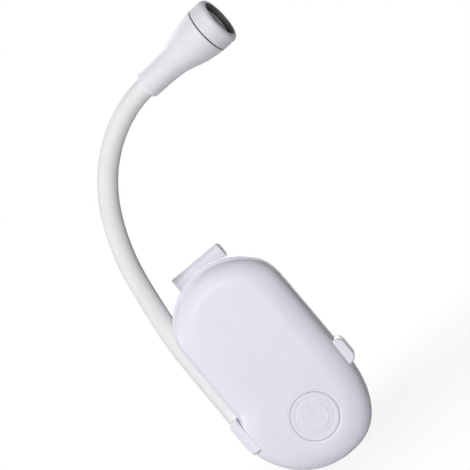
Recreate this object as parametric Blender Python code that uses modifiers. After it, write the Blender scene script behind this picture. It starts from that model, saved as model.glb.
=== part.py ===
"""Clip-on reading light.

A pill-shaped battery housing has a sprung clip on its back. A flexible neck leaves a socket low on the housing's
left side, lies in a groove along that side and curves over to a bell-shaped lamp head.

Metres, +Z up, with the clip's jaws at the bottom. The front faces -Y. The origin is the middle of the fixed jaw
pad's gripping face, and +Y is that face's normal.
"""

import math

import bmesh
import bpy
from mathutils import Matrix, Vector

# Clearances
GAP = 0.0003
PARTING_GAP = 0.0002
RUNNING_GAP = 0.0001
SCREW_GAP = 0.00025
OVERRUN = 0.002

# Housing
BAY_SIDE = 0.01015
BAY_TOP = 0.0048
TOP_ARC_HEIGHT = 0.0182
BOTTOM_ARC_HEIGHT = 0.032
FLARE = 0.0037
FLARE_ARC_HEIGHT = 0.0253
FLARE_RISE = 0.0084
FOOT_POWER = 2.6
BACK_DEPTH = 0.0102
BACK_ROUND = 0.0025
COVER_DEPTH = 0.0066
COVER_STEP = 0.0004
COVER_SKIRT = 0.001
COVER_ROUND = 0.0085
WALL = 0.0015
ARC_STEPS = 10
FLARE_STEPS = 4
ROUND_STEPS = 6
HOLLOW_STEPS = 4

# Jaws
JAW_RISE = 0.0097
PAD_WIDTH = 0.015
PAD_HEIGHT = 0.009
PAD_THICKNESS = 0.0012
PAD_PROUD = 0.0006
PAD_CORNER = 0.002

# Neck
NECK_RADIUS = 0.0038
NECK_BORE_RADIUS = 0.0022
NECK_DEPTH = 0.0048
NECK_EASE = 0.0325
NECK_JOINT_DROP = 0.0066
NECK_LINK = 0.0126
NECK_LINKS = 8
NECK_TURN_DEG = 88
NECK_TURN_POWER = 2.24
NECK_LEAN_DEG = 12.8
NECK_LEAN_POWER = 3
NECK_SIDES = 16
GROOVE_CLEARANCE = 0.0004
GROOVE_STEPS = 6
BALL_STEPS = 3

# Socket block on the left and lug on the right
SOCKET_LOW = 0.02
SOCKET_HIGH = 0.0333
SOCKET_OUT = 0.0002
SOCKET_FRONT_WIDTH = 0.0036
SOCKET_BACK_WIDTH = 0.0088
SOCKET_RAISE = 0.0036
SOCKET_CORNER = 0.0018
SOCKET_BEVEL = 0.0009
FERRULE_RADIUS = 0.0026
FERRULE_LENGTH = 0.0118
FERRULE_COLLAR = 0.0004
LUG_LOW = 0.023
LUG_HIGH = 0.0329
LUG_WIDTH = 0.0038
LUG_OUT = 0.0021
LUG_RAISE = 0.003
LUG_CORNER = 0.0026
LUG_BEVEL = 0.0004
EAR_STEP = 0.0002
NOTCH_GAP = 0.0005

# Clip
LEVER_X = -0.0005
PIN_RADIUS = 0.00125
PIN_BEHIND = 0.0036
PIN_RISE = 0.0279
PIN_END_WALL = 0.001
EAR_RADIUS = 0.0033
BARREL_RADIUS = 0.0028
BARREL_CLEARANCE = 0.0003
LEVER_THICKNESS = 0.0024
THUMB_BAR_RADIUS = 0.0028
THUMB_BAR_WIDTH = 0.021
THUMB_BAR_BEHIND = 0.0141
THUMB_BAR_ABOVE = 0.0002
LEVER_JAW_WIDTH = 0.021
LEVER_JAW_TIP = 0.0023
LEVER_CHAMFER = 0.0006
SPRING_WINDOW = 0.0124
SPRING_WIRE = 0.0004
SPRING_COIL_RADIUS = 0.0023
SPRING_TURNS = 5
SPRING_TURN_POINTS = 10
SPRING_PITCH = 0.0014
SPRING_LEG = 0.0105
SPRING_HOLE_DROP = 0.0042
SPRING_HOLE_DEPTH = 0.001
GRIP_RIBS = 4
GRIP_RIB_PITCH = 0.0028
GRIP_RIB_RADIUS = 0.0005

# Battery bay and door
CELL_RADIUS = 0.00525
CELL_LENGTH = 0.0445
CELL_TIP_RADIUS = 0.0019
CELL_TIP_LENGTH = 0.0008
CELL_RIM = 0.0006
CELL_GAP = 0.0007
DOOR_MARGIN = 0.0007
DOOR_LOW = 0.0285
DOOR_FLANGE = 0.0009
DOOR_FLANGE_THICKNESS = 0.0007
DOOR_LIP = 0.0008
DOOR_GRIPS = 4
DOOR_GRIP_RISE = 0.0045
DOOR_GRIP_PITCH = 0.0022
RIB_THICKNESS = 0.001
RIB_TOP = 0.0259
RIB_REACH = 0.0085
PLATE_THICKNESS = 0.0004
PLATE_WIDTH = 0.0084
CONTACT_SPRING_HEIGHT = 0.002
CONTACT_WIRE = 0.00025
CONTACT_BASE_RADIUS = 0.0036
CONTACT_TIP_RADIUS = 0.0018
CONTACT_TURNS = 2
CONTACT_TURN_POINTS = 10

# Button, switch and board
BUTTON_RISE = 0.0175
BUTTON_RADIUS = 0.0082
BUTTON_THICKNESS = 0.0016
BUTTON_EDGE = 0.0005
BUTTON_FLANGE_RADIUS = 0.0094
BUTTON_FLANGE_THICKNESS = 0.0007
BUTTON_TRAVEL = 0.0008
BUTTON_SIDES = 32
PLUNGER_RADIUS = 0.0016
PLUNGER_LENGTH = 0.0018
SWITCH_WIDTH = 0.006
SWITCH_THICKNESS = 0.0018
SWITCH_WELL_DEPTH = 0.0014
BOARD_WIDTH = 0.0168
BOARD_LOW = 0.0057
BOARD_HIGH = 0.0245
BOARD_THICKNESS = 0.001
BOARD_POST_RADIUS = 0.0018
BOARD_POST_X = 0.0068
BOARD_POST_RISE = 0.0083

# Screws
SCREW_RADIUS = 0.001
SCREW_LENGTH = 0.0122
SCREW_HEAD_RADIUS = 0.0018
SCREW_HEAD_THICKNESS = 0.0011
SCREW_SINK = 0.0018
BOARD_SCREW_LENGTH = 0.005
BOSS_RADIUS = 0.0022
PILOT_DEPTH = 0.0039
SCREW_TOP_DROP = 0.0165
SCREW_BOTTOM_X = 0.0112
SCREW_BOTTOM_RISE = 0.0093

# Head
HEAD_RADIUS = 0.0086
HEAD_SHELL_LENGTH = 0.028
HEAD_SEAM = 0.0007
HEAD_RING_LENGTH = 0.0058
HEAD_WALL = 0.0013
HEAD_SHARES = (
    (0.0, 0.5),
    (0.031, 0.55),
    (0.258, 0.565),
    (0.381, 0.59),
    (0.504, 0.64),
    (0.572, 0.7),
    (0.639, 0.77),
    (0.775, 0.885),
    (0.898, 0.96),
)
HEAD_TAIL_BORE = 0.0045
LEDGE_DEPTH = 0.004
SPIGOT_WALL = 0.0009
SPIGOT_LENGTH = 0.0029
RING_EDGE = 0.0016
RING_EDGE_STEPS = 3
LENS_RADIUS = 0.0062
LENS_THICKNESS = 0.0012
LENS_CROWN = 0.0005
LENS_RECESS = 0.0015
GASKET_RECESS = 0.0003
LED_BOARD_THICKNESS = 0.001
LED_RADIUS = 0.00175
LED_BASE = 0.0008
REFLECTOR_WALL = 0.0006
REFLECTOR_BEND_OUT = 0.55
REFLECTOR_BEND_UP = 0.4
TURN_STEPS = 24

# Levels worked out from the sizes above
CELL_SPACING = 2 * CELL_RADIUS + CELL_GAP
DOOR_WIDTH = CELL_SPACING + 2 * CELL_RADIUS + DOOR_MARGIN
RIB_HALF_WIDTH = DOOR_WIDTH / 2 + 2 * GAP
BODY_HALF_WIDTH = CELL_SPACING / 2 + CELL_RADIUS + BAY_SIDE
FLARE_HALF_WIDTH = BODY_HALF_WIDTH + FLARE
BAY_LENGTH = CELL_LENGTH + CONTACT_SPRING_HEIGHT + 2 * PLATE_THICKNESS + 4 * GAP
BODY_LENGTH = RIB_TOP + BAY_LENGTH + BAY_TOP
SCREW_TOP_X = DOOR_WIDTH / 2 + DOOR_FLANGE + SCREW_HEAD_RADIUS + 3 * GAP
BACK_Y = -PAD_PROUD
PART_Y = BACK_Y - BACK_DEPTH
FRONT_Y = PART_Y - COVER_DEPTH
COVER_EDGE_Y = PART_Y - PARTING_GAP
INNER_BACK_Y = BACK_Y - WALL
INNER_FRONT_Y = FRONT_Y + WALL
BOTTOM_Z = -JAW_RISE
TOP_Z = BOTTOM_Z + BODY_LENGTH
TOP_ARC_Z = TOP_Z - TOP_ARC_HEIGHT
BOTTOM_ARC_Z = BOTTOM_Z + BOTTOM_ARC_HEIGHT
FLARE_ARC_Z = BOTTOM_Z + FLARE_ARC_HEIGHT
NECK_X = -BODY_HALF_WIDTH
NECK_Y = PART_Y + NECK_DEPTH
SOCKET_TOP_Z = BOTTOM_Z + SOCKET_HIGH
NECK_BASE_Z = SOCKET_TOP_Z + FERRULE_COLLAR + GAP
NECK_FIRST_LINK = TOP_Z - NECK_JOINT_DROP - NECK_BASE_Z
NECK_STRAIGHT = NECK_FIRST_LINK - NECK_EASE
SOCKET_OUT_X = -FLARE_HALF_WIDTH - SOCKET_OUT
LUG_OUT_X = BODY_HALF_WIDTH + LUG_OUT
LUG_IN_X = LUG_OUT_X - LUG_WIDTH
SOCKET_IN_X = SOCKET_OUT_X + SOCKET_FRONT_WIDTH
EAR_RIGHT_X = LUG_IN_X - EAR_STEP
EAR_IN_X = 2 * LEVER_X - EAR_RIGHT_X
BARREL_LENGTH = EAR_RIGHT_X - EAR_IN_X - 2 * BARREL_CLEARANCE
PIN_Y = BACK_Y + PIN_BEHIND
PIN_Z = BOTTOM_Z + PIN_RISE
THUMB_BAR_Y = BACK_Y + THUMB_BAR_BEHIND
THUMB_BAR_Z = TOP_Z + THUMB_BAR_ABOVE
JAW_FRONT_Y = PAD_THICKNESS - PAD_PROUD + GAP
BUTTON_Z = BOTTOM_Z + BUTTON_RISE
DOOR_LIP_Y = BACK_Y - DOOR_LIP
DOOR_FLANGE_Y = DOOR_LIP_Y - PARTING_GAP - DOOR_FLANGE_THICKNESS
CELL_Y = DOOR_FLANGE_Y - GAP - CELL_RADIUS
RIB_TOP_Z = BOTTOM_Z + RIB_TOP
PLATE_TOP_Z = RIB_TOP_Z + GAP + PLATE_THICKNESS
PLUS_CELL_Z = PLATE_TOP_Z + GAP
MINUS_CELL_Z = PLATE_TOP_Z + CONTACT_SPRING_HEIGHT + 2 * GAP
BRIDGE_Z = MINUS_CELL_Z + CELL_LENGTH + GAP
SWITCH_FRONT_Y = FRONT_Y + BUTTON_THICKNESS + GAP + PLUNGER_LENGTH - GAP
SWITCH_BACK_Y = SWITCH_FRONT_Y + SWITCH_THICKNESS
BOARD_FRONT_Y = SWITCH_BACK_Y + GAP
BOARD_BACK_Y = BOARD_FRONT_Y + BOARD_THICKNESS
NECK_LENGTH = NECK_FIRST_LINK + (NECK_LINKS - 1) * NECK_LINK
HEAD_RING_START = HEAD_SHELL_LENGTH + HEAD_SEAM
HEAD_LENGTH = HEAD_RING_START + HEAD_RING_LENGTH
HEAD_HOLLOW_START = HEAD_SHELL_LENGTH / 2
LEDGE_START = HEAD_SHELL_LENGTH - LEDGE_DEPTH

# Colours and finishes
SHELL_WHITE = (0.75, 0.735, 0.8)
SLEEVE_WHITE = (0.77, 0.755, 0.77)
LEVER_WHITE = (0.74, 0.72, 0.78)
DARK_RUBBER = (0.08, 0.08, 0.085)
PALE_RUBBER = (0.6, 0.59, 0.6)
LENS_GREY = (0.33, 0.35, 0.34)
STEEL = (0.55, 0.55, 0.57)
NICKEL = (0.68, 0.67, 0.64)
BOARD_GREEN = (0.03, 0.22, 0.09)
SWITCH_BLACK = (0.03, 0.03, 0.035)
CELL_GREY = (0.12, 0.14, 0.17)
SILVER = (0.8, 0.8, 0.8)
LED_YELLOW = (0.85, 0.75, 0.3)


def clear_scene():
    for obj in list(bpy.data.objects):
        bpy.data.objects.remove(obj, do_unlink=True)


def new_collection(name):
    collection = bpy.data.collections.new(name)
    bpy.context.scene.collection.children.link(collection)
    return collection


def new_material(name, colour, roughness, metallic=0.0):
    material = bpy.data.materials.new(name)
    material.use_nodes = True
    shader = material.node_tree.nodes["Principled BSDF"]
    shader.inputs["Base Color"].default_value = (*colour, 1.0)
    shader.inputs["Roughness"].default_value = roughness
    shader.inputs["Metallic"].default_value = metallic
    return material


clear_scene()
PARTS = new_collection("clip_on_reading_light")
TOOLS = new_collection("cutters")
PLASTIC = new_material("shell_plastic", SHELL_WHITE, 0.35)
BUTTON_PLASTIC = new_material("button_plastic", SHELL_WHITE, 0.4)
LEVER_PLASTIC = new_material("lever_plastic", LEVER_WHITE, 0.4)
SLEEVE = new_material("neck_silicone", SLEEVE_WHITE, 0.55)
PAD_RUBBER = new_material("pad_rubber", PALE_RUBBER, 0.8)
GASKET_RUBBER = new_material("gasket_rubber", DARK_RUBBER, 0.7)
LENS = new_material("lens_plastic", LENS_GREY, 0.15)
BRIGHT_STEEL = new_material("steel", STEEL, 0.3, 1.0)
CONTACT_NICKEL = new_material("nickel", NICKEL, 0.3, 1.0)
BOARD = new_material("board_laminate", BOARD_GREEN, 0.5)
BLACK_PLASTIC = new_material("switch_plastic", SWITCH_BLACK, 0.4)
CELL_WRAP = new_material("cell_wrap", CELL_GREY, 0.35, 0.3)
MIRROR_FINISH = new_material("reflector_metal", SILVER, 0.12, 1.0)
LED_RESIN = new_material("led_resin", LED_YELLOW, 0.3)


def place(obj, material=None):
    """Puts a piece among the parts, or a tool with no material among the cutters."""
    if material is None:
        TOOLS.objects.link(obj)
        obj.hide_render = True
        obj.display_type = "WIRE"
    else:
        PARTS.objects.link(obj)
        obj.data.materials.append(material)
    return obj


def mesh_object(name, bm, material=None):
    bmesh.ops.recalc_face_normals(bm, faces=bm.faces)
    mesh = bpy.data.meshes.new(name)
    bm.to_mesh(mesh)
    bm.free()
    mesh.shade_smooth()
    mesh.set_sharp_from_angle(angle=math.radians(35))
    return place(bpy.data.objects.new(name, mesh), material)


def boolean(obj, other, operation):
    modifier = obj.modifiers.new(operation.lower() + "_" + other.name, "BOOLEAN")
    modifier.operation = operation
    modifier.object = other
    modifier.solver = "EXACT"
    return obj


def cut(obj, *others):
    for other in others:
        boolean(obj, other, "DIFFERENCE")
    return obj


def join(obj, *others):
    for other in others:
        boolean(obj, other, "UNION")
    return obj


def add_loft(bm, rings, closed=False):
    """Skins rings of equal count. A closed loft runs back to its first ring, and an open one has flat ends."""
    loops = [[bm.verts.new(point) for point in ring] for ring in rings]
    pairs = list(zip(loops, loops[1:]))
    if closed:
        pairs.append((loops[-1], loops[0]))
    for low, high in pairs:
        for k in range(len(low)):
            after = (k + 1) % len(low)
            bm.faces.new((low[k], low[after], high[after], high[k]))
    if not closed:
        bm.faces.new(loops[0])
        bm.faces.new(loops[-1])


def loft(name, rings, material=None, closed=False):
    bm = bmesh.new()
    add_loft(bm, rings, closed)
    return mesh_object(name, bm, material)


def box(name, low, high, material=None):
    bm = bmesh.new()
    bmesh.ops.create_cube(bm, size=1.0)
    low, high = Vector(low), Vector(high)
    bmesh.ops.scale(bm, vec=high - low, verts=bm.verts)
    bmesh.ops.translate(bm, vec=(low + high) / 2, verts=bm.verts)
    return mesh_object(name, bm, material)


def rods(name, ends, radius, sides=16, material=None):
    """One mesh of plain rods, each between two points."""
    bm = bmesh.new()
    for start, end in ends:
        start, end = Vector(start), Vector(end)
        turn = (end - start).to_track_quat("Z", "Y").to_matrix().to_4x4()
        bmesh.ops.create_cone(
            bm,
            cap_ends=True,
            segments=sides,
            radius1=radius,
            radius2=radius,
            depth=(end - start).length,
            matrix=Matrix.Translation((start + end) / 2) @ turn,
        )
    return mesh_object(name, bm, material)


def prism(name, points, y_low, y_high, material=None):
    """A front view outline of (x, z) points, made solid from y_low to y_high."""
    return loft(
        name,
        [[(x, y, z) for x, z in points] for y in (y_low, y_high)],
        material,
    )


def round_edges(obj, width, segments=2):
    modifier = obj.modifiers.new("rounded", "BEVEL")
    modifier.width = width
    modifier.segments = segments
    modifier.limit_method = "ANGLE"
    modifier.angle_limit = math.radians(40)
    return obj


def rounded_rectangle(x, z, width, height, corner, steps=3):
    points = []
    for quadrant in range(4):
        sign_x = (1, -1, -1, 1)[quadrant]
        sign_z = (1, 1, -1, -1)[quadrant]
        for k in range(steps + 1):
            angle = math.pi / 2 * (quadrant + k / steps)
            across = sign_x * (width / 2 - corner) + corner * math.cos(angle)
            up = sign_z * (height / 2 - corner) + corner * math.sin(angle)
            points.append((x + across, z + up))
    return points


def turned(name, profile, base, axis, material=None, steps=TURN_STEPS, ring=False):
    """Turns a profile of (radius, height) points about axis. It runs down its outer side, and a ring's runs back up."""
    bm = bmesh.new()
    verts = [bm.verts.new((radius, 0, height)) for radius, height in profile]
    for low, high in zip(verts, verts[1:] + verts[:1] if ring else verts[1:]):
        bm.edges.new((low, high))
    mesh = bpy.data.meshes.new(name)
    bm.to_mesh(mesh)
    bm.free()
    obj = place(bpy.data.objects.new(name, mesh), material)
    turn = Vector(axis).to_track_quat("Z", "Y").to_matrix().to_4x4()
    obj.matrix_world = Matrix.Translation(base) @ turn
    screw = obj.modifiers.new("turned", "SCREW")
    screw.axis = "Z"
    screw.steps = steps
    screw.render_steps = steps
    screw.use_merge_vertices = True
    screw.merge_threshold = 1e-6
    return obj


def wire(name, points, radius, material, resolution=1):
    curve = bpy.data.curves.new(name, "CURVE")
    curve.dimensions = "3D"
    curve.bevel_depth = radius
    curve.bevel_resolution = resolution
    curve.use_fill_caps = True
    spline = curve.splines.new("POLY")
    spline.points.add(len(points) - 1)
    for target, point in zip(spline.points, points):
        target.co = (*point, 1.0)
    return place(bpy.data.objects.new(name, curve), material)


def least_gap(points, radius, skip):
    """The least clear space between stretches of one wire that lie at least skip points apart."""
    least = math.inf
    for k, point in enumerate(points):
        for other in points[k + skip :]:
            least = min(least, (Vector(point) - Vector(other)).length)
    return least - 2 * radius


def report_gap(name, points, radius, skip):
    print(f"{name}: least gap to itself {1000 * least_gap(points, radius, skip):.2f} mm")


def ease(share):
    return share * share * (3 - 2 * share)


def arc_share(k, steps):
    return math.pi / 2 * k / steps


def body_outline(inset):
    """The housing's outline from the front, drawn in by inset: the top arc, the flared left side and the foot."""
    half = BODY_HALF_WIDTH - inset
    flare = FLARE_HALF_WIDTH - inset
    top = TOP_ARC_HEIGHT - inset
    left_foot = FLARE_ARC_HEIGHT - inset
    right_foot = BOTTOM_ARC_HEIGHT - inset
    points = []
    for k in range(2 * ARC_STEPS + 1):
        turn = arc_share(k, ARC_STEPS)
        points.append((half * math.cos(turn), TOP_ARC_Z + top * math.sin(turn)))
    for k in range(FLARE_STEPS):
        share = k / FLARE_STEPS
        out = half + (flare - half) * ease(share)
        points.append((-out, FLARE_ARC_Z + FLARE_RISE * (1 - share)))
    for k in range(ARC_STEPS):
        turn = arc_share(k, ARC_STEPS)
        points.append((-flare * math.cos(turn), FLARE_ARC_Z - left_foot * math.sin(turn)))
    bend = 2 / FOOT_POWER
    for k in range(ARC_STEPS, 0, -1):
        turn = arc_share(k, ARC_STEPS)
        out = abs(math.cos(turn)) ** bend if k < ARC_STEPS else 0
        points.append((half * out, BOTTOM_ARC_Z - right_foot * math.sin(turn) ** bend))
    points.append((half, BOTTOM_ARC_Z))
    return points


def body_ring(inset, y):
    return [(x, y, z) for x, z in body_outline(inset)]


def cover_rings(inset, y_edge, skirt, across, deep, steps):
    """A pillow: a short straight skirt at y_edge, then a quarter ellipse over to the flat front."""
    rings = [body_ring(inset, y_edge)]
    for k in range(steps + 1):
        turn = arc_share(k, steps)
        drawn_in = inset + across * (1 - math.cos(turn))
        rings.append(body_ring(drawn_in, skirt - deep * math.sin(turn)))
    return rings


def screw_places():
    top = TOP_Z - SCREW_TOP_DROP
    bottom = BOTTOM_Z + SCREW_BOTTOM_RISE
    return (
        (-SCREW_TOP_X, top),
        (SCREW_TOP_X, top),
        (-SCREW_BOTTOM_X, bottom),
        (SCREW_BOTTOM_X, bottom),
    )


def along_y(places, y_low, y_high):
    return [((x, y_low, z), (x, y_high, z)) for x, z in places]


def lug_outline():
    """The lug's D, from the front. Its inner side is straight and its outer corners are round."""
    low, high = BOTTOM_Z + LUG_LOW, BOTTOM_Z + LUG_HIGH
    corner_x = LUG_OUT_X - LUG_CORNER
    steps = 4
    arc = [arc_share(k, steps) for k in range(steps + 1)]
    across = [corner_x + LUG_CORNER * math.cos(turn) for turn in arc]
    inward = [LUG_CORNER * (1 - math.sin(turn)) for turn in arc]
    upper = [(x, high - z) for x, z in zip(across, inward)]
    lower = [(x, low + z) for x, z in zip(across, inward)]
    return [*upper, (LUG_IN_X, high), (LUG_IN_X, low), *lower[::-1]]


def socket_outline(width):
    """The socket block from the front: its outer side follows the housing's foot."""
    low, high = BOTTOM_Z + SOCKET_LOW, SOCKET_TOP_Z
    out = -SOCKET_OUT_X
    points = []
    for k in range(5):
        turn = math.pi / 2 * (1 - k / 4)
        x = -out + SOCKET_CORNER * (1 - math.cos(turn))
        points.append((x, high - SOCKET_CORNER * (1 - math.sin(turn))))
    start = math.asin((FLARE_ARC_Z - low) / FLARE_ARC_HEIGHT)
    for k in range(4):
        turn = start * k / 3
        points.append((-out * math.cos(turn), FLARE_ARC_Z - FLARE_ARC_HEIGHT * math.sin(turn)))
    points.append((-out + width, low))
    points.append((-out + width, high))
    return points[::-1]


def front_cover():
    cover = loft(
        "front_cover",
        cover_rings(
            COVER_STEP, COVER_EDGE_Y, PART_Y - COVER_SKIRT, COVER_ROUND, COVER_DEPTH - COVER_SKIRT, ROUND_STEPS
        ),
        PLASTIC,
    )
    hollow = loft(
        "cover_hollow",
        cover_rings(
            COVER_STEP + WALL,
            COVER_EDGE_Y + OVERRUN,
            PART_Y - COVER_SKIRT,
            COVER_ROUND,
            COVER_DEPTH - COVER_SKIRT - WALL,
            HOLLOW_STEPS,
        ),
    )
    bosses = rods(
        "cover_bosses",
        along_y(screw_places(), FRONT_Y, COVER_EDGE_Y),
        BOSS_RADIUS,
        12,
    )
    core = loft(
        "cover_core",
        cover_rings(
            COVER_STEP + WALL / 2,
            COVER_EDGE_Y + OVERRUN,
            PART_Y - COVER_SKIRT,
            COVER_ROUND,
            COVER_DEPTH - COVER_SKIRT - WALL / 2,
            ROUND_STEPS,
        ),
    )
    boolean(bosses, core, "INTERSECT")
    pilots = rods(
        "cover_pilots",
        along_y(screw_places(), PART_Y - PILOT_DEPTH, COVER_EDGE_Y + OVERRUN),
        SCREW_RADIUS + SCREW_GAP,
        12,
    )
    button_hole = rods(
        "button_hole",
        along_y([(0, BUTTON_Z)], FRONT_Y - OVERRUN, INNER_FRONT_Y + OVERRUN),
        BUTTON_RADIUS + GAP,
        BUTTON_SIDES,
    )
    socket_notch = box(
        "socket_notch",
        (SOCKET_OUT_X - OVERRUN, FRONT_Y - OVERRUN, BOTTOM_Z + SOCKET_LOW - NOTCH_GAP),
        (SOCKET_IN_X + NOTCH_GAP, PART_Y + OVERRUN, SOCKET_TOP_Z + NOTCH_GAP),
    )
    lug_notch = box(
        "lug_notch",
        (LUG_IN_X - GAP, FRONT_Y - OVERRUN, BOTTOM_Z + LUG_LOW - GAP),
        (LUG_OUT_X + OVERRUN, PART_Y + OVERRUN, BOTTOM_Z + LUG_HIGH + GAP),
    )
    cut(cover, hollow)
    join(cover, bosses)
    cut(cover, pilots, button_hole, socket_notch, lug_notch)
    return cover


def back_rings(inset, y_front, y_back, edge):
    """A tray: straight sides and a rounded back edge."""
    rings = [body_ring(inset, y_front)]
    for k in range(HOLLOW_STEPS + 1):
        turn = arc_share(k, HOLLOW_STEPS)
        drawn_in = inset + edge * (1 - math.cos(turn))
        rings.append(body_ring(drawn_in, y_back - edge * (1 - math.sin(turn))))
    return rings


def groove(name, extra):
    """The groove that the neck lies in. It follows the neck, from the socket's top to past the housing's top."""
    low = SOCKET_TOP_Z if extra == 0 else SOCKET_TOP_Z - WALL
    end = TOP_Z - NECK_BASE_Z + 2 * OVERRUN
    lengths = [low - NECK_BASE_Z]
    for k in range(GROOVE_STEPS + 1):
        lengths.append(NECK_STRAIGHT + (end - NECK_STRAIGHT) * k / GROOVE_STEPS)
    radius = NECK_RADIUS + GROOVE_CLEARANCE + extra
    return loft(name, [neck_ring(length, radius) for length in lengths])


def back_hollow():
    hollow = loft(
        "back_hollow",
        back_rings(WALL, PART_Y - OVERRUN, INNER_BACK_Y, BACK_ROUND - WALL),
    )
    socket_keep = prism(
        "socket_keep", socket_outline(SOCKET_BACK_WIDTH), PART_Y - 2 * OVERRUN, BACK_Y + OVERRUN
    )
    return cut(hollow, groove("groove_wall", WALL), socket_keep)


def socket_block():
    """The neck's socket: a block that fills the cover's notch and carries the pin's left end."""
    front = prism(
        "socket_front", socket_outline(SOCKET_FRONT_WIDTH), PART_Y - SOCKET_RAISE, BACK_Y - BACK_ROUND
    )
    round_edges(front, SOCKET_BEVEL)
    back = prism("socket_back", socket_outline(SOCKET_BACK_WIDTH), PART_Y, BACK_Y - GAP)
    round_edges(back, LUG_BEVEL, 1)
    return front, back


def ear(name, x_low, x_high):
    """A D from the side: square to the housing, and round about the pin."""
    low_y = INNER_BACK_Y - BACK_ROUND
    points = [(low_y, PIN_Z - EAR_RADIUS)]
    steps = 2 * ARC_STEPS
    for k in range(steps + 1):
        turn = math.pi * k / steps - math.pi / 2
        points.append((PIN_Y + EAR_RADIUS * math.cos(turn), PIN_Z + EAR_RADIUS * math.sin(turn)))
    points.append((low_y, PIN_Z + EAR_RADIUS))
    return loft(name, [[(x, y, z) for y, z in points] for x in (x_low, x_high)])


def ears():
    left = ear("left_ear", SOCKET_OUT_X + SOCKET_BEVEL, EAR_IN_X)
    right = ear("right_ear", EAR_RIGHT_X, LUG_OUT_X - SOCKET_BEVEL)
    return left, right


def door_slot(back):
    """The door's opening, and the undercut that its flange runs in. Both leave through the top end."""
    low, high = BOTTOM_Z + DOOR_LOW - GAP, TOP_Z + OVERRUN
    half = DOOR_WIDTH / 2 + GAP
    opening = box(
        "door_opening", (-half, DOOR_FLANGE_Y - GAP, low), (half, BACK_Y + OVERRUN, high)
    )
    half += DOOR_FLANGE
    undercut = box("door_undercut", (-half, DOOR_FLANGE_Y - GAP, low), (half, DOOR_LIP_Y, high))
    return cut(back, opening, undercut)


def back_ribs():
    lower = box(
        "lower_rib",
        (-RIB_HALF_WIDTH, INNER_BACK_Y - RIB_REACH, RIB_TOP_Z - RIB_THICKNESS),
        (RIB_HALF_WIDTH, INNER_BACK_Y + WALL / 2, RIB_TOP_Z),
    )
    upper = box(
        "upper_rib",
        (-PLATE_WIDTH, PART_Y + GAP, BRIDGE_Z + PLATE_THICKNESS + GAP),
        (PLATE_WIDTH, DOOR_FLANGE_Y - 2 * GAP, TOP_Z - WALL / 2),
    )
    return lower, upper


def back_shell():
    back = loft("back_shell", back_rings(0, PART_Y, BACK_Y, BACK_ROUND), PLASTIC)
    cut(back, back_hollow())
    lug = prism("lug", lug_outline(), PART_Y - LUG_RAISE, BACK_Y - BACK_ROUND / 2)
    round_edges(lug, LUG_BEVEL, 1)
    join(back, *socket_block(), lug, *ears(), *back_ribs())
    bosses = rods(
        "back_bosses", along_y(screw_places(), PART_Y, INNER_BACK_Y + WALL / 2), BOSS_RADIUS, 12
    )
    posts = rods(
        "board_posts",
        along_y(board_post_places(), BOARD_BACK_Y + GAP, INNER_BACK_Y + WALL / 2),
        BOARD_POST_RADIUS,
        12,
    )
    join(back, bosses, posts)
    cut(back, groove("groove", 0))
    door_slot(back)
    cut(back, *back_bores())
    return back


def back_bores():
    """Pin bore, neck socket, screw holes and the jaw pad's recess."""
    pin_bore = rods(
        "pin_bore",
        [((SOCKET_OUT_X - OVERRUN, PIN_Y, PIN_Z), (LUG_OUT_X - PIN_END_WALL, PIN_Y, PIN_Z))],
        PIN_RADIUS + RUNNING_GAP,
    )
    bottom = NECK_BASE_Z - FERRULE_LENGTH - GAP
    socket_bore = rods(
        "socket_bore",
        [((NECK_X, NECK_Y, bottom), (NECK_X, NECK_Y, SOCKET_TOP_Z + OVERRUN))],
        FERRULE_RADIUS + GAP,
    )
    shanks = rods(
        "shank_holes",
        along_y(screw_places(), PART_Y - OVERRUN, BACK_Y + OVERRUN),
        SCREW_RADIUS + SCREW_GAP,
        12,
    )
    sinks = rods(
        "head_sinks",
        along_y(screw_places(), BACK_Y - SCREW_SINK, BACK_Y + OVERRUN),
        SCREW_HEAD_RADIUS + GAP,
        16,
    )
    pilots = rods(
        "post_pilots",
        along_y(board_post_places(), BOARD_BACK_Y - OVERRUN, BOARD_BACK_Y + BOARD_SCREW_LENGTH),
        SCREW_RADIUS + SCREW_GAP,
        10,
    )
    hook = (LEVER_X - SPRING_PITCH * SPRING_TURNS / 2, PIN_Z - SPRING_HOLE_DROP)
    spring_hole = rods(
        "spring_hole",
        along_y([hook], INNER_BACK_Y - OVERRUN, BACK_Y + OVERRUN),
        SPRING_WIRE + GAP,
        12,
    )
    recess = prism(
        "pad_recess",
        rounded_rectangle(0, 0, PAD_WIDTH + 2 * GAP, PAD_HEIGHT + 2 * GAP, PAD_CORNER),
        -PAD_THICKNESS - GAP,
        BACK_Y + OVERRUN,
    )
    return pin_bore, socket_bore, shanks, sinks, pilots, spring_hole, recess


def battery_door():
    """The door is cut from the housing's own outer form, so that it lies flush with it."""
    low = BOTTOM_Z + DOOR_LOW
    half = DOOR_WIDTH / 2
    door = loft("battery_door", back_rings(0, PART_Y, BACK_Y, BACK_ROUND), PLASTIC)
    keep = box("door_panel", (-half, DOOR_FLANGE_Y, low), (half, BACK_Y + OVERRUN, TOP_Z + OVERRUN))
    flange = box(
        "door_flange",
        (-half - DOOR_FLANGE, DOOR_FLANGE_Y, low),
        (half + DOOR_FLANGE, DOOR_FLANGE_Y + DOOR_FLANGE_THICKNESS, TOP_Z + OVERRUN),
    )
    join(keep, flange)
    boolean(door, keep, "INTERSECT")
    grip_rises = [low + DOOR_GRIP_RISE + DOOR_GRIP_PITCH * k for k in range(DOOR_GRIPS)]
    grips = rods(
        "door_grips",
        [((-half / 2, BACK_Y, z), (half / 2, BACK_Y, z)) for z in grip_rises],
        GRIP_RIB_RADIUS,
        8,
    )
    return cut(door, grips)


def board_post_places():
    rise = BOTTOM_Z + BOARD_POST_RISE
    return (-BOARD_POST_X, rise), (BOARD_POST_X, rise)


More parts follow.
